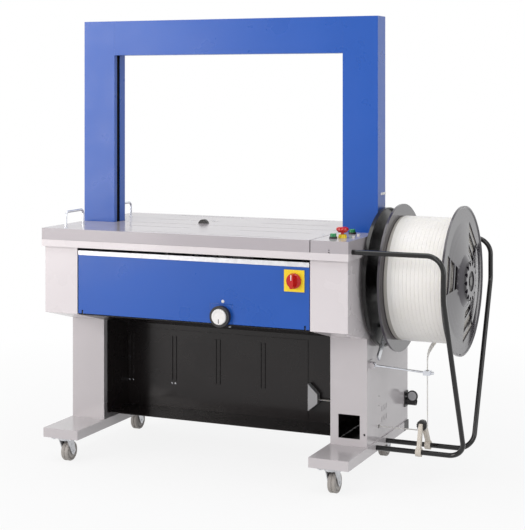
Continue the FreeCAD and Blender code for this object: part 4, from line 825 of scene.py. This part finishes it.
def bolt_tree():
    """Hexagon bolt on a round washer."""
    tree, sizes, output = new_tree("hex_bolts", {"Head radius": 0.006, "Head height": 0.004})
    make, link = tree.nodes.new, tree.links.new
    radius, height = sizes.outputs["Head radius"], sizes.outputs["Head height"]
    stack = make("GeometryNodeJoinGeometry")
    for corners, wider, share in ((6, 1.0, 1.0), (24, 1.5, 0.25)):
        disc = make("GeometryNodeMeshCylinder")
        disc.inputs["Vertices"].default_value = corners
        link(maths(tree, "MULTIPLY", radius, wider), disc.inputs["Radius"])
        deep = maths(tree, "MULTIPLY", height, share)
        link(deep, disc.inputs["Depth"])
        lift = make("ShaderNodeCombineXYZ")
        link(maths(tree, "MULTIPLY", deep, 0.5), lift.inputs["Z"])
        raise_disc = make("GeometryNodeTransform")
        link(disc.outputs["Mesh"], raise_disc.inputs["Geometry"])
        link(lift.outputs[0], raise_disc.inputs["Translation"])
        link(raise_disc.outputs[0], stack.inputs[0])
    place_heads(tree, sizes, output, stack.outputs[0])
    return tree


pan_heads = screw_tree()
hex_bolts = bolt_tree()
print("trees:", pan_heads.name, hex_bolts.name)


def fasten(name, tree, body, material, points, radius, height):
    """Fasteners at points of x, y, z in millimetres with the direction each head faces."""
    seed = bpy.data.meshes.new(name + "_places")
    seed.from_pydata([spot(*place) for place, facing in points], [], [])
    facing = seed.attributes.new("facing", "FLOAT_VECTOR", "POINT")
    facing.data.foreach_set("vector", [value for place, way in points for value in way])
    sizes = {"Head radius": radius / 1000, "Head height": height / 1000, "Material": material}
    return finish_piece(name, grown(tree, seed, sizes), body, [])


# %% [markdown]
# ### Where the screws go
# The lids carry the few screws that hold their stiffeners. The back of the arch, the rear panel and the left
# side have rows of them, as on any cover that a fitter takes off. The castor plates have four bolts each, the
# black box two pairs of chrome screws, and the slope under the door one.

# %% Place the screws
UP, DOWN, FRONT, BACK, LEFT = (0, 0, 1), (0, 0, -1), (0, -1, 0), (0, 1, 0), (-1, 0, 0)
table_top, cabinet_back, cabinet_side, plate_underside = 787, 295, 540, 82
fasten("front_lid_screws", pan_heads, "front_lid", zinc_plate, [((399, -149, table_top), UP)], 4.5, 1.6)
fasten("rear_lid_screws", pan_heads, "rear_lid", zinc_plate,
       [((-120, 130, table_top), UP), ((-79, 265, table_top), UP)], 4.5, 1.6)
arch_rows = [((x, column_back, height), BACK) for x in (-485, 485) for height in range(850, 1351, 125)]
arch_rows += [((x, column_back, 1430), BACK) for x in range(-390, 391, 156)]
fasten("arch_screws", pan_heads, "machine", zinc_plate, arch_rows, 4, 2)
panel_rows = [((x, cabinet_back, z), BACK) for x in range(-396, 397, 132) for z in (472, 732)]
panel_rows += [((-cabinet_side, y, z), LEFT) for y in (-280, 0, 275) for z in (520, 732)]
fasten("panel_screws", pan_heads, "machine", zinc_plate, panel_rows, 4, 2)
plate_bolts = [((x + dx, y + dy, plate_underside), DOWN) for x in (-478, 478) for y in (-274, 208)
               for dx in (-31, 31) for dy in (-22, 22)]
fasten("castor_bolts", hex_bolts, "machine", zinc_plate, plate_bolts, 5, 3.5)
box_screws = [((x, 43.9, 222), FRONT) for x in (-409, -395, -240, -226)]
fasten("accumulator_screws", pan_heads, "machine", bright_chrome, box_screws, 5, 2.5)
slope_facing = (0, -0.248, -0.969)
fasten("slope_screw", pan_heads, "machine", bright_chrome, [((112, -235.6, 486.8), slope_facing)], 5, 2)

# %% [markdown]
# ## Small pieces of the controls
# A signal lamp sits over the dial, a white bar on the switch's grip is a painted highlight along its ridge,
# and a dark pointer is let into the dial. A white tab marks the height on the arch's column, and the power
# inlet's lid has a pale face. All are turned or bevelled shapes, because a sharp cube of this size would look
# like a chip of paint.

# %% Lamp, highlight bar, pointer and tab
def bevelled_bar(name, low, high, edge, body, material):
    """Bar with rounded edges between two corners in millimetres."""
    shape = bmesh.new()
    bmesh.ops.create_cube(shape, size=1)
    size = [(top - bottom) / 1000 for bottom, top in zip(low, high)]
    middle = spot(*[(bottom + top) / 2 for bottom, top in zip(low, high)])
    for vertex in shape.verts:
        vertex.co = Vector([part * length for part, length in zip(vertex.co, size)]) + middle
    bmesh.ops.bevel(shape, geom=shape.edges, offset=edge / 1000, segments=3, profile=0.5, affect="EDGES")
    mesh = bpy.data.meshes.new(name)
    shape.to_mesh(mesh)
    shape.free()
    smooth_below(mesh, 50)
    return finish_piece(name, mesh, body, [material])


# The white bar on the switch's grip is a painted highlight along its ridge.
bevelled_bar("switch_grip_highlight", (361.6, -329.9, 661), (364.4, -328.9, 678), 0.4, "main_switch",
             white_moulding)
bevelled_bar("dial_pointer", (111, -322.7, 510), (113, -321.9, 524), 0.3, "dial",
             black_moulding)
bevelled_bar("column_tab", (545.6, -11, 908), (547.6, 37, 916), 0.8, "machine",
             white_moulding)


def turned_piece(name, place, profile, segments, body, material):
    """Small turned piece that faces the front."""
    mesh = lathe(name, place, Vector(FRONT), profile, segments)
    smooth_below(mesh, 35)
    return finish_piece(name, mesh, body, [material])


lamp_profile = [(-1, 0), (-1, 5), (1, 5), (1.6, 4.2), (1.6, 3.4), (3, 2.4), (3.6, 0)]
turned_piece("door_lamp", spot(118, -300, 578), lamp_profile, 32, "door", white_moulding)
lid_profile = [(-0.2, 0), (-0.2, 15), (0.5, 15), (0.8, 14.4), (0.8, 0)]
turned_piece("inlet_lid_face", spot(570, 253, 206), lid_profile, 48, "machine", grey_moulding)

# %% [markdown]
# ### Shade plates and lip
# The leg's window looks into the dark, so a thin dark plate of painted shade closes the open inner side of
# the leg behind it, over a second one on the channel's floor. The door needs a gap round the dial's plate to
# swing past it.
# A thin blue lip on the door narrows that gap to less than half a millimetre, as a folded edge would.

# %% Dark plates of painted shade in the leg, and lip round the dial's plate
# These dark plates are painted shade: they make the inside of the leg read as dark.
for name, low, high in (("leg_shade_plate", (416.5, -118, 118), (418, 288, 212)),
                        ("leg_shade_plate_floor", (418.5, -118, 117), (530, 288, 118))):
    bevelled_bar(name, low, high, 0.3, "machine", dark_coat)
dial_x, dial_z, notch_half, lip_half = 112, 531, 40, 37.4
left, right, top_edge = dial_x - notch_half, dial_x + notch_half, dial_z + notch_half
for name, low, high in (("dial_lip_left", (left, 508), (dial_x - lip_half, top_edge)),
                        ("dial_lip_right", (dial_x + lip_half, 508), (right, top_edge)),
                        ("dial_lip_top", (left, dial_z + lip_half), (right, top_edge))):
    bevelled_bar(name, (low[0], -300, low[1]), (high[0], -299, high[1]), 0.2, "door", blue_coat)

# %% [markdown]
# ## Floor, backdrop and light
# The machine stands on plain white. Rays that reach the camera or a mirror see white, while the light that
# falls on the machine stays softer than that. So the backdrop is clean, and the paint isn't washed out.

# %% White world
world = bpy.data.worlds.new("room")
bpy.context.scene.world = world
world.use_nodes = True
room = world.node_tree
room.nodes.clear()
seen = room.nodes.new("ShaderNodeBackground")
seen.inputs["Color"].default_value = (1, 1, 1, 1)
seen.inputs["Strength"].default_value = 1
fill = room.nodes.new("ShaderNodeBackground")
fill.inputs["Color"].default_value = (0.97, 0.98, 1, 1)
fill.inputs["Strength"].default_value = 0.42
path = room.nodes.new("ShaderNodeLightPath")
sees = room.nodes.new("ShaderNodeMath")
sees.operation = "MAXIMUM"
mirrored = room.nodes.new("ShaderNodeMath")
mirrored.operation = "MAXIMUM"
room.links.new(path.outputs["Is Glossy Ray"], mirrored.inputs[0])
room.links.new(path.outputs["Is Transmission Ray"], mirrored.inputs[1])
room.links.new(path.outputs["Is Camera Ray"], sees.inputs[0])
room.links.new(mirrored.outputs[0], sees.inputs[1])
choice = room.nodes.new("ShaderNodeMixShader")
room.links.new(sees.outputs[0], choice.inputs["Fac"])
room.links.new(fill.outputs[0], choice.inputs[1])
room.links.new(seen.outputs[0], choice.inputs[2])
room.links.new(choice.outputs[0], room.nodes.new("ShaderNodeOutputWorld").inputs["Surface"])
print("world: white to the eye, fill", fill.inputs["Strength"].default_value)


# %% [markdown]
# ### Floor
# A plain glowing floor would lose the shadow, and a plain matte one would look grey. This one mixes both for
# rays from the camera and from mirrors, with more glow further out, so the shadow stays near the feet.

# %% Floor that keeps the shadow
def floor_material():
    material = bpy.data.materials.new("pale_floor")
    material.use_nodes = True
    nodes, links = material.node_tree.nodes, material.node_tree.links
    nodes.clear()
    matte = nodes.new("ShaderNodeBsdfDiffuse")
    matte.inputs["Color"].default_value = (0.8, 0.8, 0.8, 1)
    glow = nodes.new("ShaderNodeEmission")
    glow.inputs["Color"].default_value = (1, 1, 1, 1)
    glow.inputs["Strength"].default_value = 1
    rays = nodes.new("ShaderNodeLightPath")
    seen = nodes.new("ShaderNodeMath")
    seen.operation = "MAXIMUM"
    links.new(rays.outputs["Is Camera Ray"], seen.inputs[0])
    links.new(rays.outputs["Is Glossy Ray"], seen.inputs[1])
    place = nodes.new("ShaderNodeTexCoord")
    away = nodes.new("ShaderNodeVectorMath")
    away.operation = "LENGTH"
    links.new(place.outputs["Object"], away.inputs[0])
    whiter = nodes.new("ShaderNodeMapRange")
    for name, number in (("From Min", 0.9), ("From Max", 2.6), ("To Min", 0.86), ("To Max", 1.0)):
        whiter.inputs[name].default_value = number
    links.new(away.outputs["Value"], whiter.inputs["Value"])
    share = nodes.new("ShaderNodeMath")
    share.operation = "MULTIPLY"
    links.new(seen.outputs[0], share.inputs[0])
    links.new(whiter.outputs["Result"], share.inputs[1])
    both = nodes.new("ShaderNodeMixShader")
    links.new(share.outputs[0], both.inputs["Fac"])
    links.new(matte.outputs[0], both.inputs[1])
    links.new(glow.outputs[0], both.inputs[2])
    links.new(both.outputs[0], nodes.new("ShaderNodeOutputMaterial").inputs["Surface"])
    return material


floor_mesh = bpy.data.meshes.new("floor")
floor_half = 9
floor_corners = [(x * floor_half, y * floor_half, 0) for x, y in ((-1, -1), (1, -1), (1, 1), (-1, 1))]
floor_mesh.from_pydata(floor_corners, [], [(0, 1, 2, 3)])
floor_mesh.materials.append(floor_material())
floor = bpy.data.objects.new("floor", floor_mesh)
bpy.context.scene.collection.objects.link(floor)
print("floor is", 2 * floor_half, "m wide")

# %% [markdown]
# ### Lamps
# Four wide rectangles light the machine softly, as cards do in a photo studio. The strongest stands at the
# front left, where the gloss paint of the arch mirrors it.

# %% Lamps
def card(name, place, aim, width, height, power, tint=(1, 1, 1)):
    """A rectangular lamp that shines from place towards aim."""
    lamp = bpy.data.lights.new(name, "AREA")
    lamp.shape = "RECTANGLE"
    lamp.size = width
    lamp.size_y = height
    lamp.energy = power
    lamp.color = tint
    holder = bpy.data.objects.new(name, lamp)
    holder.location = place
    holder.rotation_euler = (Vector(aim) - Vector(place)).to_track_quat("-Z", "Y").to_euler()
    bpy.context.scene.collection.objects.link(holder)
    return holder


card("left_card", (-3.6, -4.2, 1.6), (-0.1, 0, 0.9), 2.4, 3.2, 120, (1, 0.95, 0.93))
card("top_card", (0, -0.6, 4.2), (0, 0, 0.8), 4, 4, 85)
card("front_card", (1.4, -5.2, 2.6), (0, 0, 0.7), 2.4, 1.6, 36)
card("right_card", (4.6, -1.2, 1.4), (0.4, 0, 0.7), 1.6, 2.4, 30)
